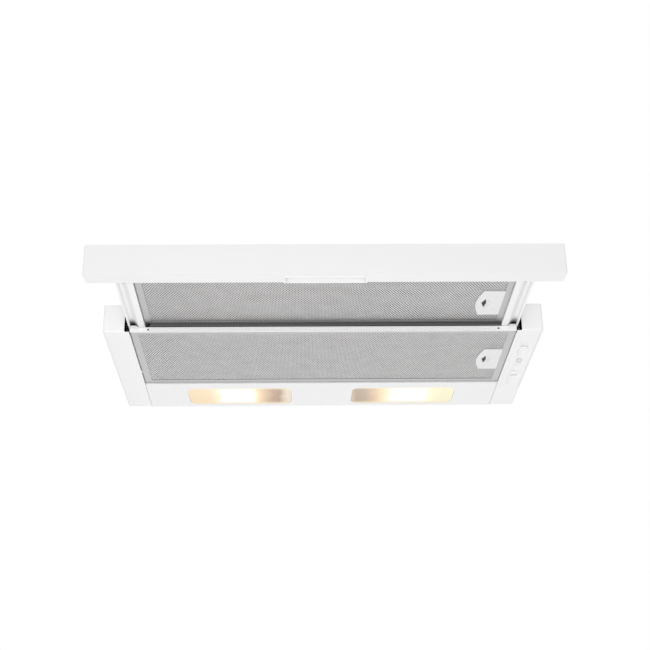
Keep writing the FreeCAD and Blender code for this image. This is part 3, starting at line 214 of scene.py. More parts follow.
def carve(thing, *cutters):
    """Cuts shapes out of an object and keeps the result as its mesh."""
    tools = [to_object("cutter", cutter) for cutter in cutters]
    for tool in tools:
        step = thing.modifiers.new("Cut", "BOOLEAN")
        step.operation, step.solver, step.object = "DIFFERENCE", "EXACT", tool
    scene_now = bpy.context.evaluated_depsgraph_get()
    result = bpy.data.meshes.new_from_object(thing.evaluated_get(scene_now))
    thing.modifiers.clear()
    old, thing.data = thing.data, result
    bpy.data.meshes.remove(old)
    for tool in tools:
        mesh = tool.data
        bpy.data.objects.remove(tool)
        bpy.data.meshes.remove(mesh)
    return thing


def dress(thing, material, body, replaces=(), edge=0.0, segments=3, smooth=40):
    """Gives a piece its finish, soft edges, body and the nodes that it stands for."""
    thing.data.materials.clear()
    thing.data.materials.append(material)
    thing.data.shade_smooth()
    thing.data.set_sharp_from_angle(angle=math.radians(smooth))
    if edge:
        soft = thing.modifiers.new("Soft edges", "BEVEL")
        soft.width, soft.segments, soft.limit_method = edge, segments, "ANGLE"
        soft.angle_limit = math.radians(35)
        soft.harden_normals = True
    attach(thing, body)
    if replaces:
        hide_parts(*replaces)
    return thing


# ---------------------------------------------------------------- finishes


def add(tree, kind, links=(), inputs=(), **settings):
    """Adds a shader node with its settings, input values and links."""
    made = tree.nodes.new(kind)
    for name, value in settings.items():
        setattr(made, name, value)
    for name, value in dict(inputs).items():
        made.inputs[name].default_value = value
    for name, source in dict(links).items():
        tree.links.new(source, made.inputs[name])
    return made


def start_finish(name):
    """A new material, its tree, its Principled shader and the object's own coordinates."""
    material = bpy.data.materials.new(name)
    material.use_nodes = True
    tree = material.node_tree
    shader = tree.nodes["Principled BSDF"]
    return material, tree, shader, add(tree, "ShaderNodeTexCoord").outputs["Object"]


def set_shader(shader, **values):
    """Sets sockets of a Principled shader; an underscore in a name stands for a space."""
    for name, value in values.items():
        shader.inputs[name.replace("_", " ")].default_value = value


# Places of the two colours and of the result among a Mix node's sockets.
MIX_A, MIX_B, MIX_RESULT = 6, 7, 2


def bump(tree, shader, height, distance, strength):
    """Puts a height pattern on a shader as relief."""
    relief = add(tree, "ShaderNodeBump", {"Height": height}, {"Distance": distance, "Strength": strength})
    tree.links.new(relief.outputs["Normal"], shader.inputs["Normal"])


def vary(tree, source, low, high, target):
    """Drives a socket between two values by a pattern."""
    ramp = add(tree, "ShaderNodeMapRange", {"Value": source}, {"To Min": low, "To Max": high})
    tree.links.new(ramp.outputs["Result"], target)


def tint(tree, source, dark, light, target):
    """Drives a colour socket between two colours by a pattern."""
    mix = add(tree, "ShaderNodeMix", {"Factor": source}, data_type="RGBA")
    mix.inputs[MIX_A].default_value, mix.inputs[MIX_B].default_value = dark, light
    tree.links.new(mix.outputs[MIX_RESULT], target)


def paint_shade(tree, where, shader, axis_spans, strength):
    """Paints shade: darkens a base colour inside a region. A span is an axis, its clear place and its full place.

    The axis |x| stands for both sides of the hood alike.
    """
    split = add(tree, "ShaderNodeSeparateXYZ", {"Vector": where})
    total = None
    for axis, clear, full in axis_spans:
        place_on = split.outputs[axis.strip("|").upper()]
        if "|" in axis:
            place_on = add(tree, "ShaderNodeMath", {0: place_on}, operation="ABSOLUTE").outputs["Value"]
        share = add(tree, "ShaderNodeMapRange", {"Value": place_on}, {"From Min": clear, "From Max": full},
                    interpolation_type="SMOOTHSTEP").outputs["Result"]
        if total:
            share = add(tree, "ShaderNodeMath", {0: total, 1: share}, operation="MULTIPLY").outputs["Value"]
        total = share
    keep = add(tree, "ShaderNodeMapRange", {"Value": total}, {"To Min": 1.0, "To Max": 1 - strength})
    link = shader.inputs["Base Color"].links[0]
    mix = add(tree, "ShaderNodeMix", {MIX_A: link.from_socket, MIX_B: keep.outputs["Result"]}, {"Factor": 1.0},
              data_type="RGBA", blend_type="MULTIPLY")
    tree.links.new(mix.outputs[MIX_RESULT], shader.inputs["Base Color"])


def darker(colour, share):
    """A colour brought down to a share of its brightness."""
    return tuple(c * share for c in colour[:3]) + (1.0,)


def noise(tree, where, millimetres, detail=3.0, stretch=(1, 1, 1)):
    """Noise whose grain is about as large as given, drawn out along an axis if asked."""
    map_node = add(tree, "ShaderNodeMapping", {"Vector": where}, {"Scale": stretch})
    return add(tree, "ShaderNodeTexNoise", {"Vector": map_node.outputs["Vector"]},
               {"Scale": 1 / (millimetres * MM), "Detail": detail}).outputs["Fac"]


def enamelled_steel(colour):
    """Stove-enamelled sheet steel: a smooth satin coat with a faint orange peel."""
    material, tree, shader, where = start_finish("White enamelled steel")
    set_shader(shader, Roughness=0.33, IOR=1.5, Coat_Weight=0.25, Coat_Roughness=0.12)
    patch = noise(tree, where, 60, 2)
    tint(tree, patch, darker(colour, 0.985), colour, shader.inputs["Base Color"])
    vary(tree, noise(tree, where, 25, 3), 0.29, 0.38, shader.inputs["Roughness"])
    bump(tree, shader, noise(tree, where, 2.2, 2), 0.04 * MM, 0.35)
    return material


def rail_with_painted_shade(colour):
    """Moulded rail: the same white plastic, its track darkened by painted shade towards the body and towards its outer
    wall.
    """
    material = moulded_abs("White moulded rail with greased track", colour)
    tree, shader = material.node_tree, material.node_tree.nodes["Principled BSDF"]
    where = next(n for n in tree.nodes if n.type == "TEX_COORD").outputs["Object"]
    above_foot = ("z", RAIL_LO.z, RAIL_LO.z + 1 * MM)
    near_body = ("y", FRONT - 20 * MM, FRONT + 3 * MM)
    # Painted shadow: the track turns almost black as it nears the body.
    paint_shade(tree, where, shader, (("|x|", 249 * MM, 251.5 * MM), above_foot, near_body), 0.97)
    # Painted shade: the track a little darker towards its outer wall.
    paint_shade(tree, where, shader, (("|x|", 250 * MM, 261 * MM), above_foot), 0.05)
    return material


def paint_bar_shade(material, share=0.93):
    """Paints shade on a filter finish: darker along the edge that tucks in behind the front bar."""
    tree, shader = material.node_tree, material.node_tree.nodes["Principled BSDF"]
    where = next(n for n in tree.nodes if n.type == "TEX_COORD").outputs["Object"]
    paint_shade(tree, where, shader, (("y", FRONT - 22 * MM, FRONT + 12 * MM),), share)
    material.name += ", greasy edge"
    return material


def moulded_abs(name, colour, roughness=0.42, grain=0.7):
    """Injection-moulded ABS: a fine spark-eroded texture that breaks up the gloss."""
    material, tree, shader, where = start_finish(name)
    set_shader(shader, Roughness=roughness, IOR=1.53)
    patch = noise(tree, where, 45, 2)
    tint(tree, patch, darker(colour, 0.98), colour, shader.inputs["Base Color"])
    vary(tree, noise(tree, where, 9, 2), roughness - 0.05, roughness + 0.06, shader.inputs["Roughness"])
    bump(tree, shader, noise(tree, where, grain, 3), 0.03 * MM, 0.5)
    return material


def rolled_aluminium(colour):
    """Folded aluminium strip in mill finish: faint rolling lines along the filter."""
    material, tree, shader, where = start_finish("Mill finish aluminium strip")
    set_shader(shader, Metallic=1.0, Roughness=0.42)
    lines = noise(tree, where, 1.2, 4, (0.04, 1, 1))
    tint(tree, lines, darker(colour, 0.86), colour, shader.inputs["Base Color"])
    vary(tree, lines, 0.36, 0.52, shader.inputs["Roughness"])
    bump(tree, shader, lines, 0.03 * MM, 0.4)
    return material


def expanded_aluminium(name, colour, spread):
    """Expanded aluminium: slit, stretched strands with bright cut edges and uneven tone."""
    material, tree, shader, where = start_finish(name)
    set_shader(shader, Metallic=0.85, Roughness=0.4)
    patch = noise(tree, where, 18, 3)
    fleck = noise(tree, where, 3.2, 2)
    blend = add(tree, "ShaderNodeMath", {0: patch, 1: fleck}, operation="MULTIPLY")
    tint(tree, blend.outputs["Value"], darker(colour, spread), colour, shader.inputs["Base Color"])
    vary(tree, fleck, 0.3, 0.55, shader.inputs["Roughness"])
    bump(tree, shader, fleck, 0.08 * MM, 0.4)
    return material


def zinc_steel():
    """Zinc-plated steel: cool grey spangle with a soft sheen."""
    material, tree, shader, where = start_finish("Zinc plated steel")
    set_shader(shader, Metallic=1.0, Roughness=0.35)
    spangle = add(tree, "ShaderNodeTexVoronoi", {"Vector": where}, {"Scale": 1 / (5 * MM)}).outputs["Distance"]
    tint(tree, spangle, srgb("9A9C9C"), srgb("C9CBCC"), shader.inputs["Base Color"])
    vary(tree, spangle, 0.28, 0.45, shader.inputs["Roughness"])
    bump(tree, shader, noise(tree, where, 1.5, 2), 0.03 * MM, 0.3)
    return material


def felt(name, colour):
    """Black felt and foam: matt, fibrous and nearly without a highlight."""
    material, tree, shader, where = start_finish(name)
    set_shader(shader, Roughness=0.95, IOR=1.3, Specular_IOR_Level=0.1)
    fibre = noise(tree, where, 0.8, 4)
    tint(tree, fibre, darker(colour, 0.6), colour, shader.inputs["Base Color"])
    bump(tree, shader, fibre, 0.1 * MM, 0.6)
    return material


def glazed_ceramic():
    """Steatite lamp holder: off-white, hard and slightly glossy."""
    material, tree, shader, where = start_finish("Glazed steatite")
    set_shader(shader, Roughness=0.25, IOR=1.6)
    tint(tree, noise(tree, where, 6, 3), srgb("D9D5C8"), srgb("EAE7DE"), shader.inputs["Base Color"])
    bump(tree, shader, noise(tree, where, 3, 2), 0.05 * MM, 0.3)
    return material


def bright_aluminium():
    """Pressed reflector: bright rolled aluminium with shallow dimples."""
    material, tree, shader, where = start_finish("Dimpled reflector aluminium")
    set_shader(shader, Metallic=1.0, Roughness=0.22)
    dimple = add(tree, "ShaderNodeTexVoronoi", {"Vector": where}, {"Scale": 1 / (4 * MM)}).outputs["Distance"]
    tint(tree, dimple, srgb("D8D8D6"), srgb("EFEFED"), shader.inputs["Base Color"])
    bump(tree, shader, dimple, 0.2 * MM, 0.4)
    return material


def lit_opal_glass(strength):
    """Opal bulb glass, lit: warm white and even."""
    material, tree, shader, where = start_finish("Lit opal glass")
    set_shader(shader, Roughness=0.3, IOR=1.5, Emission_Strength=2.5 * strength)
    shader.inputs["Base Color"].default_value = srgb("FFF4E0")
    tint(tree, noise(tree, where, 20, 2), srgb("FFE2B0"), srgb("FFF1D2"), shader.inputs["Emission Color"])
    return material


def nitrile_rubber():
    """Black rubber: matt, with a little bloom."""
    material, tree, shader, where = start_finish("Black rubber")
    set_shader(shader, Roughness=0.8, IOR=1.52)
    tint(tree, noise(tree, where, 5, 3), srgb("141414"), srgb("262625"), shader.inputs["Base Color"])
    bump(tree, shader, noise(tree, where, 0.6, 3), 0.05 * MM, 0.5)
    return material


# Glow along each lamp cover from the socket's end to the bulb's tip, as place and hex colour.
GLOW = {
    "left": [(0.0, "E6D7C2"), (0.04, "D2BCA4"), (0.07, "B1937C"), (0.13, "B89A80"), (0.2, "D6B896"),
             (0.26, "F0D2A8"), (0.3, "FFEDC8"), (0.34, "FFFFFA"), (0.64, "FFFFFA"), (0.68, "FFF2D0"),
             (0.76, "F2DAB4"), (0.95, "EED5AF"), (1.0, "F6E8C6")],
    "right": [(0.0, "E6D7C2"), (0.04, "C6AE98"), (0.08, "AE9882"), (0.17, "BAA38D"), (0.25, "D8BC9C"),
              (0.32, "F0D8B0"), (0.38, "FFEFCA"), (0.44, "FFFFFA"), (0.76, "FFFFFA"), (0.83, "F8F4D0"),
              (0.95, "F0EBC5"), (1.0, "F2ECC8")],
}


def frosted_cover(name, glow, box, start, end, strength):
    """Frosted polycarbonate over a lit bulb: the socket's end stays dull, the middle is white hot."""
    material, tree, shader, where = start_finish(name)
    set_shader(shader, Roughness=0.45, IOR=1.58, Emission_Strength=strength)
    shader.inputs["Base Color"].default_value = srgb("302C28")
    split = add(tree, "ShaderNodeSeparateXYZ", {"Vector": where})
    grain = noise(tree, where, 30, 2)
    wander = 12 * MM
    sway = add(tree, "ShaderNodeMath", {0: grain, 2: split.outputs["X"]}, {1: wander}, operation="MULTIPLY_ADD")
    along = add(tree, "ShaderNodeMapRange", {"Value": sway.outputs["Value"]}, {"From Min": start, "From Max": end})
    ramp = add(tree, "ShaderNodeValToRGB", {"Fac": along.outputs["Result"]})
    stops = ramp.color_ramp.elements
    while len(stops) < len(glow):
        stops.new(0.5)
    for stop, (spot, code) in zip(stops, glow):
        stop.position, stop.color = spot, srgb(code)
    middle, half = (box[0].y + box[1].y) / 2, (box[1].y - box[0].y) / 2
    offset = add(tree, "ShaderNodeMath", {0: split.outputs["Y"]}, {1: middle}, operation="SUBTRACT")
    aside = add(tree, "ShaderNodeMath", {0: offset.outputs["Value"]}, operation="ABSOLUTE")
    rim = add(tree, "ShaderNodeMapRange", {"Value": aside.outputs["Value"]},
              {"From Min": half * 0.72, "From Max": half * 0.97, "To Max": 0.75}, interpolation_type="SMOOTHSTEP")
    edge = add(tree, "ShaderNodeMix", {"Factor": rim.outputs["Result"], MIX_A: ramp.outputs["Color"]},
               {MIX_B: srgb("F2E0BE")}, data_type="RGBA")
    tree.links.new(edge.outputs[MIX_RESULT], shader.inputs["Emission Color"])
    bump(tree, shader, noise(tree, where, 0.9, 3), 0.04 * MM, 0.6)
    return material


FINISHES = {}


def finish(key):
    """The finish of that name, made once."""
    if not FINISHES:
        c, lamp = colours(), bpy.context.scene.hood_light.lamp
        FINISHES.update({
            "enamel": enamelled_steel(tuple(c.enamel)),
            # Painted light: the crossbar's enamel takes the moulding's brighter white to lift the bar out of the shade
            # under the visor.
            "bar_enamel_painted_light": enamelled_steel(tuple(c.moulding)),
            "abs": moulded_abs("White moulded ABS", tuple(c.moulding)),
            "latch": moulded_abs("Pale grey moulded nylon", tuple(c.latch), 0.5, 0.9),
            "nylon": moulded_abs("Natural nylon", srgb("FCFCF8"), 0.48, 0.9),
            "black": moulded_abs("Black glass-filled nylon", srgb("1C1C1E"), 0.5, 0.8),
            "border": rolled_aluminium(tuple(c.border)),
            "strand": expanded_aluminium("Expanded aluminium mesh", tuple(c.strand), 0.62),
            # The layers' dark grey is painted shade deep in the filter.
            "layer": expanded_aluminium("Aluminium mesh layers in painted shade", tuple(c.layer), 0.5),
            # The visor filter's finishes carry painted shade towards the front bar.
            "dull_strand": paint_bar_shade(expanded_aluminium("Expanded aluminium visor mesh", tuple(c.strand), 0.62)),
            "dull_layer": paint_bar_shade(expanded_aluminium("Aluminium visor mesh layers in painted shade", tuple(c.layer), 0.5)),
            "dull_border": paint_bar_shade(rolled_aluminium(tuple(c.border))),
            # The rails carry painted shade in their tracks.
            "rail": rail_with_painted_shade(tuple(c.moulding)),
            "dark_screw": moulded_abs("Blackened steel screw", srgb("7A7A7A"), 0.4),
            # Dark grey that stands as painted shade inside the latches' finger holes.
            "hole_shade": moulded_abs("Dark grey painted shade behind a finger hole", srgb("2C2C2C"), 0.6),
            "zinc": zinc_steel(),
            "can": rolled_aluminium(srgb("C4C4C4")),
            # Black felt, also used as painted shade in ports, holes, rail tracks and knob gaps.
            "felt": felt("Black felt", tuple(c.shade)),
            "ceramic": glazed_ceramic(),
            "reflector": bright_aluminium(),
            "bulb": lit_opal_glass(lamp),
            "rubber": nitrile_rubber(),
        })
    return FINISHES[key]


# ---------------------------------------------------------------- the visor


def build_front_panel():
    """Folded front panel with soft corners, a let-in back cover and room for the grip."""
    s = sizes()
    bm = bmesh.new()
    front, back = s.panel_corner, s.panel_back_corner
    steps = 8
    trim, past = 3.2 * MM, 2 * MM
    outline = []
    for cx, cy, radius, begin in ((PANEL_LO.x + front, PANEL_LO.y + front, front, 180),
                                  (PANEL_HI.x - front, PANEL_LO.y + front, front, 270),
                                  (PANEL_HI.x - back, PANEL_HI.y - back, back, 0),
                                  (PANEL_LO.x + back, PANEL_HI.y - back, back, 90)):
        for i in range(steps + 1):
            turn = math.radians(begin + 90 * i / steps)
            outline.append((cx + radius * math.cos(turn), cy + radius * math.sin(turn)))
    prism(bm, outline, "z", PANEL_LO.z, PANEL_HI.z)
    panel = to_object("front_panel_shell", bm)
    trims = []
    for sign in (-1, 1):
        corner = bmesh.new()
        x, z = PANEL_HI.x - trim, PANEL_HI.z - trim
        turns = [math.radians(10 * i) for i in range(10)]
        arc = [(sign * (x + trim * math.cos(a)), z + trim * math.sin(a)) for a in turns]
        arc += [(sign * x, PANEL_HI.z + past), (sign * (PANEL_HI.x + past), PANEL_HI.z + past),
                (sign * (PANEL_HI.x + past), z)]
        prism(corner, arc, "y", PANEL_LO.y - past, PANEL_HI.y + past)
        trims.append(corner)
    grip_lo, grip_hi = BOX["pull_grip"]
    hole = bmesh.new()
    slab(hole, (grip_lo.x + 2.4 * MM, grip_lo.y + 2.4 * MM, PANEL_LO.z - past),
         (grip_hi.x - 2.4 * MM, PANEL_HI.y - 2.0 * MM, grip_hi.z + 0.3 * MM))
    seam = bmesh.new()
    slab(seam, (PANEL_LO.x + 12 * MM, PANEL_HI.y - 0.6 * MM, PANEL_LO.z + 2 * MM),
         (PANEL_HI.x - 12 * MM, PANEL_HI.y + past, PANEL_HI.z - 2 * MM))
    carve(panel, hole, seam, *trims)
    dress(panel, finish("enamel"), "visor", ("front_panel", "panel_back_plate"),
          edge=1.5 * MM, segments=4)
    plate = bmesh.new()
    slab(plate, (PANEL_LO.x + 12.4 * MM, PANEL_HI.y - 1.6 * MM, PANEL_LO.z + 2.4 * MM),
         (PANEL_HI.x - 12.4 * MM, PANEL_HI.y - 0.3 * MM, PANEL_HI.z - 2.4 * MM))
    dress(to_object("panel_back_cover", plate), finish("enamel"), "visor", edge=0.3 * MM)


def build_pull_grip():
    """Moulded grip: a rounded rim under the panel around a finger recess."""
    low, high = BOX["pull_grip"]
    bm = bmesh.new()
    prism(bm, rectangle(low.x, high.x, low.y, high.y - 0.4 * MM), "z", low.z, PANEL_LO.z + 0.2 * MM, 3.0 * MM)
    grip = to_object("pull_grip_moulding", bm)
    inner = bmesh.new()
    prism(inner, rectangle(low.x + 2.6 * MM, high.x - 2.6 * MM, low.y + 2.6 * MM, high.y - 2.6 * MM), "z",
          low.z - CLEAR, PANEL_LO.z + CLEAR, 1.6 * MM)
    carve(grip, inner)
    dress(grip, finish("abs"), "visor", ("pull_grip",), edge=0.5 * MM)
    cup = bmesh.new()
    wall = rectangle(low.x + 2.7 * MM, high.x - 2.7 * MM, low.y + 2.7 * MM, high.y - 3.3 * MM)
    prism(cup, wall, "z", PANEL_LO.z, high.z - 0.1 * MM, 1.6 * MM)
    recess = to_object("pull_grip_recess", cup)
    room = bmesh.new()
    prism(room, rectangle(low.x + 3.9 * MM, high.x - 3.9 * MM, low.y + 3.9 * MM, high.y - 4.4 * MM), "z",
          PANEL_LO.z - CLEAR, high.z - 1.4 * MM, 1.4 * MM)
    carve(recess, room)
    dress(recess, finish("abs"), "visor", edge=0.4 * MM)


def rail_outline():
    """Section of the right rail: flat foot that sweeps up into the track, and the outer lip."""
    foot, sweep, depth, lip = 7.3 * MM, 9 * MM, 5.2 * MM, 2.8 * MM
    inner, outer, floor, top = RAIL_LO.x, RAIL_HI.x - 1.5 * MM, RAIL_LO.z, RAIL_HI.z
    points, steps = [(inner, floor)], 12
    for i in range(steps + 1):
        share = i / steps
        points.append((inner + foot + sweep * share, floor + depth * share * share * (3 - 2 * share)))
    return points + [(outer - lip - 1.2 * MM, floor + depth), (outer - lip, floor + depth - 1.2 * MM),
                     (outer - lip, floor), (outer, floor), (outer, top), (inner, top)]


def build_rails():
    """The two moulded side rails."""
    for side in ("right", "left"):
        bm = bmesh.new()
        prism(bm, rail_outline(), "y", RAIL_LO.y, RAIL_HI.y)
        if side == "left":
            mirrored(bm)
        rail = to_object(f"visor_rail_{side}", bm)
        dress(rail, finish("rail"), "visor", (f"rail_{side}",), edge=0.3 * MM, smooth=60)


def build_visor_fittings():
    """Cross-slotted screws that hold the panel, and the screws that show at the rails' front ends."""
    low, high = BOX["panel_screws"]
    bm, across, along = bmesh.new(), bmesh.new(), bmesh.new()
    y, reach, half, depth = (low.y + high.y) / 2, 2 * MM, 0.4 * MM, 0.8 * MM
    for x in (low.x + 3 * MM, high.x - 3 * MM):
        barrel(bm, "z", 2.9 * MM, low.z, high.z, (x, y), 28)
        slab(across, (x - reach, y - half, low.z - CLEAR), (x + reach, y + half, low.z + depth))
        slab(along, (x - half, y - reach, low.z - CLEAR), (x + half, y + reach, low.z + depth))
    screws = to_object("panel_screw_heads", bm)
    carve(screws, across, along)
    dress(screws, finish("dark_screw"), "visor", ("panel_screws",), edge=0.25 * MM)
    ends = bmesh.new()
    for x in (-254 * MM, 254 * MM):
        barrel(ends, "z", 2.3 * MM, RAIL_LO.z + 2.5 * MM, RAIL_LO.z + 4.4 * MM, (x, PANEL_HI.y + 15.5 * MM), 28)
    dress(to_object("rail_end_screws", ends), finish("dark_screw"), "visor", edge=0.2 * MM)


# ---------------------------------------------------------------- the flat body


# How much of each end of the control plate hides above the cap's floor.
CONTROL_END = 2.6 * MM


def build_crossbar():
    """Angle between the caps with a groove in its face, rivets, nylon rail guides and felt wipers; the rivets and the
    wipers are black as painted shade in the holes and the rail tracks.
    """
    low, high = BOX["front_crossbar"]
    gap, shelf = Vector((0.8 * MM, 0, 0)), 0.8 * MM
    low, high = low + gap, high - gap
    bm = bmesh.new()
    web, groove, middle = 1.5 * MM, 0.25 * MM, (low.z + high.z) / 2
    section = [(low.y, low.z), (low.y + web, low.z), (low.y + web, high.z - shelf), (high.y, high.z - shelf),
               (high.y, high.z), (low.y, high.z), (low.y, middle + 0.5 * MM), (low.y + groove, middle + 0.2 * MM),
               (low.y, middle - 0.1 * MM)]
    prism(bm, section, "x", low.x, high.x)
    bar = to_object("crossbar_angle", bm)
    holes = bmesh.new()
    spots = (low.x + 24.7 * MM, high.x - 24.7 * MM)
    for x in spots:
        barrel(holes, "y", 1.35 * MM, low.y - CLEAR, low.y + 3 * CLEAR, (x, middle))
    carve(bar, holes)
    # The bar's brighter white enamel is painted light against the shade under the visor.
    dress(bar, finish("bar_enamel_painted_light"), "hood", ("front_crossbar",), edge=0.35 * MM, segments=2)
    # Painted shade: black rivets sit deep in the holes so that the holes read dark.
    rivets = bmesh.new()
    for x in spots:
        barrel(rivets, "y", 1.3 * MM, low.y + 0.8 * MM, low.y + 2.2 * MM, (x, middle))
    dress(to_object("crossbar_shade_rivets", rivets), finish("felt"), "hood")
    for side in ("right", "left"):
        low, high = BOX[f"front_guide_{side}"]
        inner, outer = sorted((abs(low.x), abs(high.x)))
        guide = bmesh.new()
        section = [(inner - 1.2 * MM, low.z), (outer + 0.8 * MM, low.z), (outer + 0.8 * MM, high.z),
                   (inner + 1.0 * MM, high.z - 0.2 * MM), (inner - 0.6 * MM, low.z + 1.3 * MM),
                   (inner - 1.2 * MM, low.z + 0.5 * MM)]
        prism(guide, section, "y", low.y, high.y)
        # Painted shade: the felt wiper's black stands for the shadow deep in the rail track by the bar.
        wiper = bmesh.new()
        web, edge = RAIL_LO.z + 5.6 * MM, high.z + 0.1 * MM
        seal = [(inner - 0.2 * MM, low.z + 1.5 * MM), (inner + 1.0 * MM, edge), (outer - 1.2 * MM, edge),
                (outer - 1.2 * MM, web), (inner + 4 * MM, web), (inner + 0.2 * MM, RAIL_LO.z + 2.4 * MM)]
        prism(wiper, seal, "y", low.y + 2.5 * MM, high.y - 1 * MM)
        if side == "left":
            mirrored(guide)
            mirrored(wiper)
        dress(to_object(f"rail_guide_{side}", guide), finish("nylon"), "hood",
              (f"front_guide_{side}",), edge=0.35 * MM)
        dress(to_object(f"rail_wiper_{side}", wiper), finish("felt"), "hood")


def build_side_caps():
    """Moulded end caps, hollow like the real ones, with a port beside each rail lined with black sheets as painted
    shade.
    """
    control_lo, control_hi = BOX["control_plate"]
    wall = 2 * MM
    for side in ("right", "left"):
        low, high = BOX[f"{side}_side_cap"]
        top = high.z
        bm = bmesh.new()
        slab(bm, (CAP_INNER, FRONT, FLOOR), (HALF, BACK, top))
        outer = [e for e in bm.edges if all(v.co.x > HALF - 1e-5 for v in e.verts)
                 and abs(e.verts[0].co.z - e.verts[1].co.z) > 1e-4]
        under = [e for e in bm.edges if all(v.co.z < FLOOR + 1e-5 for v in e.verts)
                 and any(v.co.x > HALF - 1e-5 for v in e.verts)]
        bmesh.ops.bevel(bm, geom=outer + under, offset=2.4 * MM, segments=5, profile=0.5, affect="EDGES", material=-1)
        cap = to_object(f"end_cap_{side}", bm)
        hollow = bmesh.new()
        slab(hollow, (CAP_INNER + wall, FRONT + wall, FLOOR + wall), (HALF - wall, BACK - wall, top + wall))
        inner = bmesh.new()
        slab(inner, (CAP_INNER - wall, FRONT + wall, RAIL_LO.z - 1.4 * MM),
             (CAP_INNER + wall * 1.2, BACK - wall, top + wall))
        port = bmesh.new()
        sill, lintel, reach = FLOOR + 0.7 * MM, RAIL_HI.z + 2 * MM, CAP_INNER + 6.5 * MM
        prism(port, [(CAP_INNER - wall, sill), (reach - 0.9 * MM, sill), (reach, sill + 1.1 * MM), (reach, lintel),
                     (CAP_INNER - wall, lintel)], "y", FRONT - CLEAR, FRONT + 13.2 * MM)
        cutters = [hollow, inner, port]
        if side == "right":
            window = bmesh.new()
            slab(window, (control_lo.x - 0.15 * MM, control_lo.y + CONTROL_END, FLOOR - CLEAR),
                 (control_hi.x + 0.15 * MM, control_hi.y - CONTROL_END, FLOOR + wall * 2))
            cutters.append(window)
        carve(cap, *cutters)
        # Painted shade: black sheets line the inside of the port so that it reads dark.
        shade_lining = bmesh.new()
        mouth, back, deep, right = FRONT + 2.2 * MM, FRONT + 12 * MM, FRONT + 13 * MM, CAP_INNER + 11 * MM
        bottom, under, above = FLOOR + 0.8 * MM, RAIL_LO.z - 1 * MM, RAIL_HI.z + 6 * MM
        for corner, opposite in (((CAP_INNER + 0.05 * MM, back, bottom), (right, deep, under)),
                                 ((CAP_INNER + 1.3 * MM, back, under - 0.1 * MM), (right, deep, above)),
                                 ((CAP_INNER + 0.7 * MM, mouth, bottom), (right, deep, bottom + 0.4 * MM)),
                                 ((CAP_INNER + 1.3 * MM, mouth, above - 0.6 * MM), (right, deep, above)),
                                 ((right - 0.6 * MM, mouth, bottom), (right, deep, above))):
            slab(shade_lining, corner, opposite)
        shade_liner = to_object(f"port_lining_{side}", shade_lining, tidy=False)
        if side == "left":
            for thing in (cap, shade_liner):
                shape = bmesh.new()
                shape.from_mesh(thing.data)
                mirrored(shape)
                bmesh.ops.recalc_face_normals(shape, faces=shape.faces)
                shape.to_mesh(thing.data)
                shape.free()
        dress(cap, finish("abs"), "hood", (f"{side}_side_cap",), edge=0.5 * MM)
        dress(shade_liner, finish("felt"), "hood")
    tabs = bmesh.new()
    filter_lo, filter_hi = BOX["body_filter_frame"]
    middle = (filter_lo.y + filter_hi.y) / 2
    slab(tabs, (-CAP_INNER - 0.5 * MM, middle + 45 * MM, filter_lo.z - 1.2 * MM),
         (-CAP_INNER + 1.2 * MM, middle + 51 * MM, filter_lo.z - 0.3 * MM))
    dress(to_object("filter_hook_tab", tabs), finish("abs"), "hood", edge=0.2 * MM)


def build_light_panel():
    """Lamp sheet with a rolled front edge and two round-cornered openings."""
    low, high = BOX["light_panel"]
    bm = bmesh.new()
    sheet = 1 * MM
    prism(bm, [(low.y, low.z), (high.y, low.z), (high.y, low.z + sheet), (low.y + sheet, low.z + sheet),
               (low.y + sheet, high.z), (low.y, high.z)], "x", low.x, high.x)
    panel = to_object("lamp_sheet", bm)
    cutters = []
    for side in ("left", "right"):
        cover_lo, cover_hi = BOX[f"lamp_cover_{side}"]
        hole = bmesh.new()
        prism(hole, rectangle(cover_lo.x - 0.3 * MM, cover_hi.x + 0.3 * MM, cover_lo.y - 0.3 * MM,
                              cover_hi.y + 0.3 * MM), "z", low.z - CLEAR, low.z + 3 * CLEAR, 13.3 * MM, 10)
        cutters.append(hole)
    carve(panel, *cutters)
    dress(panel, finish("enamel"), "hood", ("light_panel",), edge=0.45 * MM)


def build_lamp_covers():
    """Frosted covers with a soft rim and a shallow crown, glowing from the bulbs behind them."""
    glow = bpy.context.scene.hood_light.lamp
    for side in ("left", "right"):
        low, high = BOX[f"lamp_cover_{side}"]
        bm = bmesh.new()
        prism(bm, rectangle(low.x, high.x, low.y, high.y), "z", high.z, low.z + 0.5 * MM, 13 * MM, 10)
        face = min(bm.faces, key=lambda f: f.calc_center_median().z - f.calc_area())
        bmesh.ops.inset_region(bm, faces=[face], thickness=1.6 * MM, depth=0.45 * MM)
        start, end = (high.x, low.x) if side == "left" else (low.x, high.x)
        cover = to_object(f"frosted_cover_{side}", bm)
        coat = frosted_cover(f"Frosted polycarbonate {side}", GLOW[side], (low, high), start, end, glow)
        dress(cover, coat, "hood", (f"lamp_cover_{side}",), edge=0.25 * MM)


def ellipsoid(bm, centre, radii):
    """A ball stretched to three radii."""
    made = bmesh.ops.create_uvsphere(bm, u_segments=40, v_segments=20, radius=1.0)["verts"]
    return place(bm, made, radii, centre)


# Each knob's name, then in millimetres where its scoop starts along the plate, the scoop's length and width,
# and the knob's travel.
CONTROLS = (("light", 34, 42, 15.5, 10), ("boost", 82, 27, 8, 8), ("speed", 125, 54, 15.5, 24))


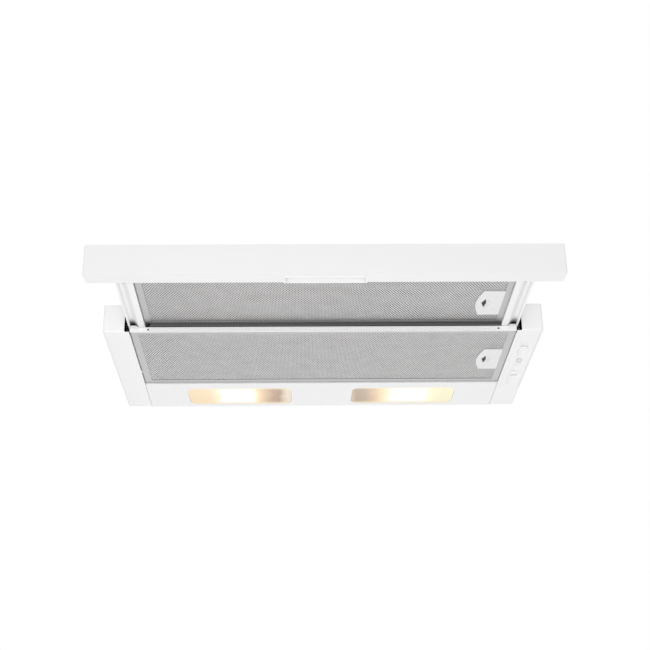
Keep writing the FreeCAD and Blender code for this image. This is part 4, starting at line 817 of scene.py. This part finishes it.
def build_controls():
    """Control plate with a finger scoop for each slide knob, and the three knobs."""
    low, high = BOX["control_plate"]
    x, y0, y1 = (low.x + high.x) / 2, low.y + CONTROL_END, high.y - CONTROL_END
    bm = bmesh.new()
    prism(bm, rectangle(low.x, high.x, y0, y1), "z", FLOOR, high.z, 2.5 * MM, 4)
    plate = to_object("control_face", bm)
    cutters = []
    for name, start, length, width, travel in CONTROLS:
        scoop = bmesh.new()
        centre = y0 + (start + length / 2) * MM
        if name == "boost":
            slab(scoop, (x - width / 2 * MM, centre - length / 2 * MM, FLOOR - 2 * CLEAR),
                 (x + width / 2 * MM, centre + length / 2 * MM, FLOOR + 1.6 * MM))
        else:
            ellipsoid(scoop, (x, centre, FLOOR - 1.5 * MM), (width / 2 * 1.2 * MM, length / 2 * 1.15 * MM, 3.7 * MM))
        cutters.append(scoop)
        slot = bmesh.new()
        reach = (8 + travel) / 2 * MM + 0.3 * MM
        slab(slot, (x - 2.4 * MM, centre - reach, FLOOR - 2 * CLEAR), (x + 2.4 * MM, centre + reach, high.z - 0.5 * MM))
        cutters.append(slot)
    carve(plate, *cutters)
    dress(plate, finish("abs"), "hood", ("control_plate",), edge=0.35 * MM)
    bead = bmesh.new()
    along, radius, rise = y0 + 12 * MM, 7 * MM, 1.4 * MM
    reach = math.acos(1 - rise / radius)
    arc = [-reach + 2 * reach * i / 10 for i in range(11)]
    prism(bead, [(along + radius * math.sin(a), FLOOR + radius - rise - radius * math.cos(a)) for a in arc]
          + [(along + 3 * MM, FLOOR + 0.5 * MM), (along - 3 * MM, FLOOR + 0.5 * MM)],
          "x", low.x + 4.5 * MM, high.x - 4.5 * MM)
    dress(to_object("control_plate_bead", bead), finish("abs"), "hood", edge=0.5 * MM)
    for name, start, length, width, travel in CONTROLS:
        knob_lo, knob_hi = BOX[f"{name}_knob"]
        middle = (knob_lo.y + knob_hi.y) / 2
        bm = bmesh.new()
        radius = (knob_hi.x - knob_lo.x) / 2 - 0.2 * MM
        prism(bm, rectangle(knob_lo.x, knob_hi.x, knob_lo.y, knob_hi.y), "z", knob_lo.z + 0.9 * MM,
              knob_lo.z + 2.9 * MM, radius, 8)
        thumb = to_object(f"{name}_thumb_slide", bm)
        more = bmesh.new()
        more.from_mesh(thumb.data)
        slab(more, (knob_lo.x + 1.2 * MM, middle - 0.8 * MM, knob_lo.z + 0.05 * MM),
             (knob_hi.x - 1.2 * MM, middle + 0.8 * MM, knob_lo.z + 1.2 * MM))
        slab(more, (x - 2.15 * MM, middle - 3.9 * MM, knob_lo.z + 2.5 * MM),
             (x + 2.15 * MM, middle + 3.9 * MM, knob_hi.z))
        more.to_mesh(thumb.data)
        more.free()
        if name != "light":
            gap = bmesh.new()
            reach = radius * 0.8 if name == "speed" else radius * 0.55
            slab(gap, (x - reach, middle + 0.9 * MM, knob_lo.z + 0.35 * MM),
                 (x + reach, middle + 2.6 * MM, knob_lo.z + 1.0 * MM))
            dress(to_object(f"{name}_slide_shadow_line", gap), finish("felt"), f"{name}_control")
        shade = "latch" if name == "boost" else "abs"
        dress(thumb, finish(shade), f"{name}_control", (f"{name}_knob",), edge=0.3 * MM)


# ---------------------------------------------------------------- grease filters


def window_frame(bm, low, high, border):
    """Four mitred strips around a window, as thick as the space between two corners."""
    outer = rectangle(low.x, high.x, low.y, high.y)
    inner = rectangle(low.x + border, high.x - border, low.y + border, high.y - border)
    ring = [[bm.verts.new((x, y, low.z)) for x, y in loop] for loop in (outer, inner)]
    faces = [bm.faces.new((ring[0][i], ring[0][(i + 1) % 4], ring[1][(i + 1) % 4], ring[1][i])) for i in range(4)]
    drawn = bmesh.ops.extrude_face_region(bm, geom=faces)["geom"]
    bmesh.ops.translate(bm, vec=(0, 0, high.z - low.z), verts=[g for g in drawn if isinstance(g, bmesh.types.BMVert)])


# How far each filter's border is drawn past its node to the left and to the right, then the border's width.
FILTERS = {"body_filter": (0.0, 0.5 * MM, 10.2 * MM), "visor_filter": (0.5 * MM, 1.0 * MM, 9.0 * MM)}


def expanded_mesh(low, high, plane, relief):
    """A sheet of diamonds: a turned grid whose cells are opened, cut square and given depth."""
    s = sizes()
    across, deep = s.mesh_across, s.mesh_deep
    width, depth = high.x - low.x, high.y - low.y
    bm = bmesh.new()
    cells = int(width / across + depth / deep) + 4
    bmesh.ops.create_grid(bm, x_segments=cells, y_segments=cells, size=cells / 2)
    bmesh.ops.rotate(bm, cent=(0, 0, 0), matrix=Matrix.Rotation(math.pi / 4, 3, "Z"), verts=bm.verts)
    half = math.sqrt(0.5)
    place(bm, bm.verts, (across / 2 / half, deep / 2 / half, 1), ((low.x + high.x) / 2, (low.y + high.y) / 2, plane))
    for point, normal in (((low.x, 0, 0), (-1, 0, 0)), ((high.x, 0, 0), (1, 0, 0)),
                          ((0, low.y, 0), (0, -1, 0)), ((0, high.y, 0), (0, 1, 0))):
        bmesh.ops.bisect_plane(bm, geom=bm.verts[:] + bm.edges[:] + bm.faces[:], plane_co=point, plane_no=normal,
                               clear_outer=True)
    cell = across * deep / 2
    whole = [f for f in bm.faces if f.calc_area() > cell * 0.9]
    bmesh.ops.inset_individual(bm, faces=whole, thickness=s.mesh_strand, use_even_offset=True)
    drawn = bmesh.ops.extrude_discrete_faces(bm, faces=whole)["faces"]
    bmesh.ops.delete(bm, geom=drawn, context="FACES")
    rims = [e for e in bm.edges if e.is_boundary and low.x + 1e-5 < e.verts[0].co.x < high.x - 1e-5
            and low.y + 1e-5 < e.verts[0].co.y < high.y - 1e-5]
    walls = bmesh.ops.extrude_edge_only(bm, edges=rims)["geom"]
    bmesh.ops.translate(bm, vec=(0, 0, relief), verts=[g for g in walls if isinstance(g, bmesh.types.BMVert)])
    return bm


def build_filters():
    """The two grease filters: folded border, expanded mesh and the layers behind it."""
    for name, (left, right, border_width) in FILTERS.items():
        low, high = BOX[f"{name}_frame"]
        low, high = low - Vector((left, 0, 0)), high + Vector((right, 0, 0))
        lip, tuck = 0.6 * MM, 4 * MM
        bm = bmesh.new()
        window_frame(bm, low, Vector((high.x, high.y, low.z + lip)), border_width)
        hinge_side = low.x + 2.2 * MM
        window_frame(bm, Vector((hinge_side, low.y, low.z + lip * 0.9)), high, border_width - tuck - 1 * MM)
        window_frame(bm, Vector((hinge_side, low.y, high.z - lip)), high, border_width)
        if name == "visor_filter":
            slab(bm, Vector((low.x + 6 * MM, high.y - 0.8 * MM, low.z - 3.3 * MM)),
                 Vector((high.x - 0.3 * MM, high.y, low.z + lip)))
        border = to_object(f"{name}_border", bm, tidy=False)
        # The visor filter takes the finishes with painted shade near the front bar.
        greasy = "dull_" if name == "visor_filter" else ""
        dress(border, finish(f"{greasy}border"), name, (f"{name}_frame",),
              edge=0.25 * MM, segments=2)
        inset = Vector((border_width - tuck, border_width - tuck, 0))
        net_low, net_high = low + inset, high - inset
        plane = low.z + lip + 0.05 * MM
        net = to_object(f"{name}_expanded_mesh", expanded_mesh(net_low, net_high, plane, sizes().mesh_relief),
                        tidy=False)
        dress(net, finish(f"{greasy}strand"), name, (f"{name}_mesh",), smooth=25)
        # Painted shade: a flat dark slab stands for the shaded layers seen through the mesh.
        back = bmesh.new()
        slab(back, (net_low.x, net_low.y, plane + 0.9 * MM), (net_high.x, net_high.y, high.z - 1 * MM))
        dress(to_object(f"{name}_inner_layers_in_shade", back), finish(f"{greasy}layer"), name)


def build_latches():
    """Sliding latch of each filter: a D-shaped plate with a kite-shaped finger hole, two grooves and two pips."""
    for name in ("body_filter", "visor_filter"):
        low, high = BOX[f"{name}_latch"]
        body = name.replace("filter", "latch")
        _, spread, border_width = FILTERS[name]
        edge = BOX[f"{name}_frame"][1].x + spread - border_width + 0.6 * MM
        centre, face = (low.y + high.y) / 2, low.z + 0.5 * MM
        bm = bmesh.new()
        half, bow = (high.y - low.y) / 2, 7 * MM
        outline = [(edge, low.y), (edge, high.y)]
        for i in range(21):
            share = 1 - i / 10
            outline.append((low.x + bow * abs(share) ** 1.7, centre + half * share))
        prism(bm, outline, "z", face, face + 1.3 * MM)
        latch = to_object(f"{name}_latch_plate", bm)
        x, steps = low.x + 11.9 * MM, 12
        kite = [(x - 4.6 * MM, centre - 1.9 * MM), (x, centre - 12.8 * MM), (x + 2.1 * MM, centre),
                (x, centre + 13.2 * MM)]
        hole = bmesh.new()
        prism(hole, kite, "z", face - CLEAR, face + 4 * CLEAR, 0.7 * MM, 3)
        cutters = [hole]
        for offset in (4.8, 8.2):
            groove = bmesh.new()
            reach, thick, spread_angle = 15 * MM, 0.9 * MM, 92
            outer_arc, inner_arc = [], []
            for i in range(steps + 1):
                turn = math.radians(spread_angle * (i / steps - 0.5))
                across, along_y = math.cos(turn), math.sin(turn)
                base = x + offset * MM - reach
                outer_arc.append((base + reach * across, centre + reach * along_y))
                inner_arc.append((base + (reach - thick) * across, centre + (reach - thick) * along_y))
            prism(groove, outer_arc + inner_arc[::-1], "z", face - CLEAR, face + 0.7 * MM)
            cutters.append(groove)
        for y in (centre - 17.5 * MM, centre + 17.5 * MM):
            dot = bmesh.new()
            barrel(dot, "z", 0.9 * MM, face - CLEAR, face + 1 * MM, (low.x + 25.6 * MM, y), 16)
            cutters.append(dot)
        carve(latch, *cutters)
        extra = bmesh.new()
        extra.from_mesh(latch.data)
        tongue_lo, tongue_hi, gap = centre - 10 * MM, centre + 10 * MM, 14.5 * MM
        slab(extra, (edge - 8 * MM, tongue_lo, face + 1 * MM), (edge - 0.5 * MM, tongue_hi, high.z - 0.1 * MM))
        slab(extra, (edge - 8 * MM, tongue_lo, high.z - 1.4 * MM), (high.x, tongue_hi, high.z))
        bmesh.ops.recalc_face_normals(extra, faces=extra.faces)
        extra.to_mesh(latch.data)
        extra.free()
        dress(latch, finish("latch"), body, (f"{name}_latch",), edge=0.22 * MM, segments=2)
        # Painted shade: a dark grey wedge under the finger hole so that the hole reads dark.
        hole_shade = bmesh.new()
        prism(hole_shade, [(centre - gap, face + 1.31 * MM), (centre + gap, face + 1.31 * MM),
                     (centre + gap, face + 2.2 * MM)], "x", x - 6 * MM, x + 3.5 * MM)
        dress(to_object(f"{name}_latch_hole_shade", hole_shade), finish("hole_shade"), body)


# ---------------------------------------------------------------- the motor box and what shows above


def build_motor_box():
    """Folded steel box, hollow and with soft edges, its screws and the two pressed fields in its top."""
    low, high = (Vector(corner) for corner in BOX["motor_box"])
    low.x, high.x = BOX["motor_box_end_left"][0].x, BOX["motor_box_end_right"][1].x
    slope = 22 * MM
    bm = bmesh.new()
    prism(bm, [(low.y, low.z), (high.y, low.z), (high.y, high.z), (low.y + slope, high.z), (low.y, high.z - slope)],
          "x", low.x, high.x)
    shell = to_object("motor_box_shell", bm)
    sheet, past, head = 0.8 * MM, 5 * MM, 1.5 * MM
    room = bmesh.new()
    slant = sheet * math.tan(math.radians(22.5))
    prism(room, [(low.y + sheet, low.z - CLEAR), (high.y - sheet, low.z - CLEAR), (high.y - sheet, high.z - sheet),
                 (low.y + slope + slant, high.z - sheet), (low.y + sheet, high.z - slope - slant)],
          "x", low.x + sheet, high.x - sheet)
    collar_lo, collar_hi = BOX["outlet_collar"]
    duct = ((collar_lo.x + collar_hi.x) / 2, (collar_lo.y + collar_hi.y) / 2)
    mouth = bmesh.new()
    barrel(mouth, "z", 55 * MM, high.z - past, high.z + past, duct, 64)
    grommet_lo, grommet_hi = BOX["cable_grommet"]
    spot = ((grommet_lo.x + grommet_hi.x) / 2, (grommet_lo.y + grommet_hi.y) / 2)
    cable = bmesh.new()
    barrel(cable, "z", 7.5 * MM, high.z - past, high.z + past, spot, 32)
    carve(shell, room, mouth, cable)
    dress(shell, finish("zinc"), "hood", ("motor_box", "motor_box_end_left", "motor_box_end_right"),
          edge=0.7 * MM)
    screws = bmesh.new()
    for x in (-0.235, -0.08, 0.08, 0.235):
        barrel(screws, "y", 3.2 * MM, low.y + 0.05 * MM, low.y - head, (x, 12 * MM), 20)
        for y in (low.y + 40 * MM, high.y - 8 * MM):
            barrel(screws, "z", 3.2 * MM, high.z, high.z + head, (x, y), 20)
    dress(to_object("motor_box_screws", screws), finish("zinc"), "hood", edge=0.6 * MM)
    lid = bmesh.new()
    for x0, x1 in ((low.x + 14 * MM, duct[0] - 84 * MM), (duct[0] + 84 * MM, spot[0] - 20 * MM)):
        prism(lid, rectangle(x0, x1, low.y + 56 * MM, high.y - 22 * MM), "z", high.z - 0.1 * MM, high.z + 0.9 * MM,
              10 * MM)
    dress(to_object("motor_box_pressings", lid), finish("zinc"), "hood", edge=0.8 * MM)


def build_outlet():
    """Moulded duct collar: flange, tapered lip, seat for the flaps and four screws."""
    low, high = BOX["outlet_collar"]
    centre = Vector(((low.x + high.x) / 2, (low.y + high.y) / 2, 0))
    radius, flange = 60 * MM, high.x - centre.x
    seat, bore, thick = 54.5 * MM, 57.5 * MM, 2.5 * MM
    profile = [(seat, low.z), (flange, low.z), (flange, low.z + thick), (radius + 0.6 * MM, low.z + thick),
               (radius, low.z + 3.4 * MM), (radius, high.z - 6 * MM), (radius, high.z - 5 * MM),
               (radius - 0.5 * MM, high.z), (bore + 0.1 * MM, high.z), (bore, low.z + 2 * MM), (seat, low.z + 2 * MM)]
    bm = bmesh.new()
    ring = [bm.verts.new((r, 0, z)) for r, z in profile]
    loop = [bm.edges.new((ring[i], ring[(i + 1) % len(ring)])) for i in range(len(ring))]
    bmesh.ops.spin(bm, geom=ring + loop, cent=(0, 0, 0), axis=(0, 0, 1), angle=2 * math.pi, steps=96, use_merge=True)
    bmesh.ops.translate(bm, vec=centre, verts=bm.verts)
    collar = to_object("duct_collar_moulding", bm)
    dress(collar, finish("black"), "hood", ("outlet_collar",), edge=0.3 * MM, smooth=30)
    screws = bmesh.new()
    for i in range(4):
        turn = math.radians(45 + 90 * i)
        spot = (centre.x + 65.5 * MM * math.cos(turn), centre.y + 65.5 * MM * math.sin(turn))
        barrel(screws, "z", 2.6 * MM, low.z + thick, low.z + thick + 1.4 * MM, spot, 20)
    dress(to_object("duct_collar_screws", screws), finish("zinc"), "hood", edge=0.4 * MM)


KEPT_FINISHES = {
    "enamel": ["base_chassis", "visor_cover"],
    "zinc": ["flap_pin", "motor_shaft", "motor_bracket", "bracket_posts", "capacitor_strap", "motor_body"],
    "can": ["capacitor"],
    "black": ["light_switch", "boost_switch", "speed_switch", "visor_switch", "switch_lever", "terminal_box",
              "flap_left", "flap_right", "impeller", "blower_casing_left", "blower_casing_right"],
    "nylon": ["rear_glide_left", "rear_glide_right"],
    "reflector": ["lamp_reflector_left", "lamp_reflector_right"],
    "ceramic": ["lamp_holder_left", "lamp_holder_right"],
    "bulb": ["bulb_left", "bulb_right"],
    "rubber": ["cable_grommet", "rubber_mounts"],
}


def finish_kept_pieces():
    """Gives every piece that shows its own shape a real finish."""
    for key, names in KEPT_FINISHES.items():
        for name in names:
            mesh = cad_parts[name].data
            mesh.materials.clear()
            mesh.materials.append(finish(key))


# ---------------------------------------------------------------- stage


# The camera's place in metres, its lens and sensor in millimetres and its angles in degrees.
CAMERA_SPOT = (-0.030812, -1.647305, -0.727473)
CAMERA_LENS, CAMERA_SENSOR = 67.7156, 36.0
CAMERA_PITCH, CAMERA_YAW, CAMERA_ROLL = 24.8018, 1.2352, -0.7724
CAMERA_NEAR, CAMERA_FAR = 0.01, 50
LIGHTS_AIM = Vector((0, -0.1, -0.02))
FLOOR_HALF, FLOOR_HEIGHT = 6.0, -1.7
BRIGHT_WAY = (-0.16, -0.6, -0.72)


def build_stage():
    """Plain floor, white surroundings, soft lights and the camera below and in front of the hood."""
    scene = bpy.context.scene
    light = scene.hood_light
    world = bpy.data.worlds.new("White studio")
    scene.world = world
    world.use_nodes = True
    tree = world.node_tree
    towards = add(tree, "ShaderNodeVectorMath", {0: add(tree, "ShaderNodeTexCoord").outputs["Generated"]},
                  {1: BRIGHT_WAY}, operation="DOT_PRODUCT")
    soft = add(tree, "ShaderNodeMapRange", {"Value": towards.outputs["Value"]},
               {"From Min": -0.25, "From Max": 0.5, "To Min": light.far, "To Max": light.near},
               interpolation_type="SMOOTHSTEP")
    camera_ray = add(tree, "ShaderNodeLightPath").outputs["Is Camera Ray"]
    seen = add(tree, "ShaderNodeMath", {0: soft.outputs["Result"], 1: camera_ray}, operation="MAXIMUM")
    tree.links.new(seen.outputs["Value"], tree.nodes["Background"].inputs["Strength"])
    tree.nodes["Background"].inputs["Color"].default_value = (1, 1, 1, 1)
    bm = bmesh.new()
    bmesh.ops.create_grid(bm, x_segments=1, y_segments=1, size=FLOOR_HALF)
    bmesh.ops.translate(bm, vec=(0, 0, FLOOR_HEIGHT), verts=bm.verts)
    floor = to_object("floor", bm, tidy=False)
    material, tree, shader, where = start_finish("Pale matt floor")
    set_shader(shader, Roughness=0.9)
    tint(tree, noise(tree, where, 400, 2), srgb("F4F4F4"), srgb("F8F8F8"), shader.inputs["Base Color"])
    floor.data.materials.append(material)
    for name, spot, size, power in (("fill_light", (-0.14, -1.5, -1.1), 1.4, light.fill),
                                    ("rear_light", (0.1, 1.5, -0.95), 2.0, light.rim),
                                    ("top_light", (0.2, 0.9, 1.1), 1.2, light.top)):
        lamp = bpy.data.lights.new(name, "AREA")
        lamp.size, lamp.energy = size, power
        holder = bpy.data.objects.new(name, lamp)
        holder.location = spot
        holder.rotation_euler = (LIGHTS_AIM - Vector(spot)).to_track_quat("-Z", "Y").to_euler()
        holder.visible_camera = False
        scene.collection.objects.link(holder)
    pitch, yaw, roll = (math.radians(a) for a in (CAMERA_PITCH, CAMERA_YAW, CAMERA_ROLL))
    ahead = Vector((math.sin(yaw) * math.cos(pitch), math.cos(yaw) * math.cos(pitch), math.sin(pitch)))
    level = Vector((math.cos(yaw), -math.sin(yaw), 0))
    upright = level.cross(ahead)
    right = math.cos(roll) * level + math.sin(roll) * upright
    up = -math.sin(roll) * level + math.cos(roll) * upright
    camera = bpy.data.cameras.new("camera")
    camera.lens, camera.sensor_width = CAMERA_LENS, CAMERA_SENSOR
    camera.clip_start, camera.clip_end = CAMERA_NEAR, CAMERA_FAR
    holder = bpy.data.objects.new("camera", camera)
    turn = Matrix((right, up, -ahead)).transposed().to_4x4()
    holder.matrix_world = Matrix.Translation(CAMERA_SPOT) @ turn
    scene.collection.objects.link(holder)
    scene.camera = holder
    scene.view_settings.view_transform = "Standard"


# ---------------------------------------------------------------- operators and panel


class HOOD_OT_front_panel(bpy.types.Operator):
    """Builds the visor's front panel"""
    bl_idname = "hood.front_panel"
    bl_label = "Front panel"

    def execute(self, context):
        build_front_panel()
        return {"FINISHED"}


class HOOD_OT_pull_grip(bpy.types.Operator):
    """Builds the grip under the front panel"""
    bl_idname = "hood.pull_grip"
    bl_label = "Pull grip"

    def execute(self, context):
        build_pull_grip()
        return {"FINISHED"}


class HOOD_OT_rails(bpy.types.Operator):
    """Builds the two side rails of the visor"""
    bl_idname = "hood.rails"
    bl_label = "Visor rails"

    def execute(self, context):
        build_rails()
        return {"FINISHED"}


class HOOD_OT_visor_fittings(bpy.types.Operator):
    """Builds the screws behind the front panel"""
    bl_idname = "hood.visor_fittings"
    bl_label = "Visor fittings"

    def execute(self, context):
        build_visor_fittings()
        return {"FINISHED"}


class HOOD_OT_crossbar(bpy.types.Operator):
    """Builds the front bar with its rivets, guides and wipers, the rivets and wipers black as painted shade"""
    bl_idname = "hood.crossbar"
    bl_label = "Crossbar"

    def execute(self, context):
        build_crossbar()
        return {"FINISHED"}


class HOOD_OT_side_caps(bpy.types.Operator):
    """Builds the two end caps of the body"""
    bl_idname = "hood.side_caps"
    bl_label = "Side caps"

    def execute(self, context):
        build_side_caps()
        return {"FINISHED"}


class HOOD_OT_light_panel(bpy.types.Operator):
    """Builds the sheet that holds the lamps"""
    bl_idname = "hood.light_panel"
    bl_label = "Light panel"

    def execute(self, context):
        build_light_panel()
        return {"FINISHED"}


class HOOD_OT_lamp_covers(bpy.types.Operator):
    """Builds the two lit lamp covers"""
    bl_idname = "hood.lamp_covers"
    bl_label = "Lamp covers"

    def execute(self, context):
        build_lamp_covers()
        return {"FINISHED"}


class HOOD_OT_controls(bpy.types.Operator):
    """Builds the control plate and its slide knobs"""
    bl_idname = "hood.controls"
    bl_label = "Controls"

    def execute(self, context):
        build_controls()
        return {"FINISHED"}


class HOOD_OT_filters(bpy.types.Operator):
    """Builds the two grease filters"""
    bl_idname = "hood.filters"
    bl_label = "Grease filters"

    def execute(self, context):
        build_filters()
        return {"FINISHED"}


class HOOD_OT_latches(bpy.types.Operator):
    """Builds the latch of each filter"""
    bl_idname = "hood.latches"
    bl_label = "Filter latches"

    def execute(self, context):
        build_latches()
        return {"FINISHED"}


class HOOD_OT_motor_box(bpy.types.Operator):
    """Builds the motor box with its screws"""
    bl_idname = "hood.motor_box"
    bl_label = "Motor box"

    def execute(self, context):
        build_motor_box()
        return {"FINISHED"}


class HOOD_OT_outlet(bpy.types.Operator):
    """Builds the duct collar"""
    bl_idname = "hood.outlet"
    bl_label = "Outlet collar"

    def execute(self, context):
        build_outlet()
        return {"FINISHED"}


class HOOD_OT_kept_pieces(bpy.types.Operator):
    """Gives the remaining pieces their finishes"""
    bl_idname = "hood.kept_pieces"
    bl_label = "Other finishes"

    def execute(self, context):
        finish_kept_pieces()
        return {"FINISHED"}


class HOOD_OT_stage(bpy.types.Operator):
    """Adds the floor, the lights and the camera"""
    bl_idname = "hood.stage"
    bl_label = "Stage"

    def execute(self, context):
        build_stage()
        return {"FINISHED"}


OPERATORS = [HOOD_OT_front_panel, HOOD_OT_pull_grip, HOOD_OT_rails, HOOD_OT_visor_fittings, HOOD_OT_crossbar,
             HOOD_OT_side_caps, HOOD_OT_light_panel, HOOD_OT_lamp_covers, HOOD_OT_controls, HOOD_OT_filters,
             HOOD_OT_latches, HOOD_OT_motor_box, HOOD_OT_outlet, HOOD_OT_kept_pieces, HOOD_OT_stage]


class HOOD_PT_panel(bpy.types.Panel):
    """Sizes, colours and building steps of the range hood"""
    bl_label = "Range Hood"
    bl_idname = "HOOD_PT_panel"
    bl_space_type = "VIEW_3D"
    bl_region_type = "UI"
    bl_category = "Range Hood"

    def draw(self, context):
        layout = self.layout
        for group in (context.scene.hood_sizes, context.scene.hood_colours, context.scene.hood_light):
            column = layout.column(align=True)
            for name in group.__annotations__:
                column.prop(group, name)
        column = layout.column(align=True)
        for made in OPERATORS:
            column.operator(made.bl_idname)


CLASSES = [HoodSizes, HoodColours, HoodLight, *OPERATORS, HOOD_PT_panel]
GROUPS = {"hood_sizes": HoodSizes, "hood_colours": HoodColours, "hood_light": HoodLight}


def register():
    for made in CLASSES:
        bpy.utils.register_class(made)
    for name, group in GROUPS.items():
        setattr(bpy.types.Scene, name, bpy.props.PointerProperty(type=group))


def unregister():
    for name in GROUPS:
        delattr(bpy.types.Scene, name)
    for made in reversed(CLASSES):
        bpy.utils.unregister_class(made)


def main():
    """Registers the add-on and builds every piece."""
    register()
    bpy.ops.hood.front_panel()
    bpy.ops.hood.pull_grip()
    bpy.ops.hood.rails()
    bpy.ops.hood.visor_fittings()
    bpy.ops.hood.crossbar()
    bpy.ops.hood.side_caps()
    bpy.ops.hood.light_panel()
    bpy.ops.hood.lamp_covers()
    bpy.ops.hood.controls()
    bpy.ops.hood.filters()
    bpy.ops.hood.latches()
    bpy.ops.hood.motor_box()
    bpy.ops.hood.outlet()
    bpy.ops.hood.kept_pieces()
    bpy.ops.hood.stage()
    bpy.context.view_layer.update()


if __name__ == "__main__":
    main()
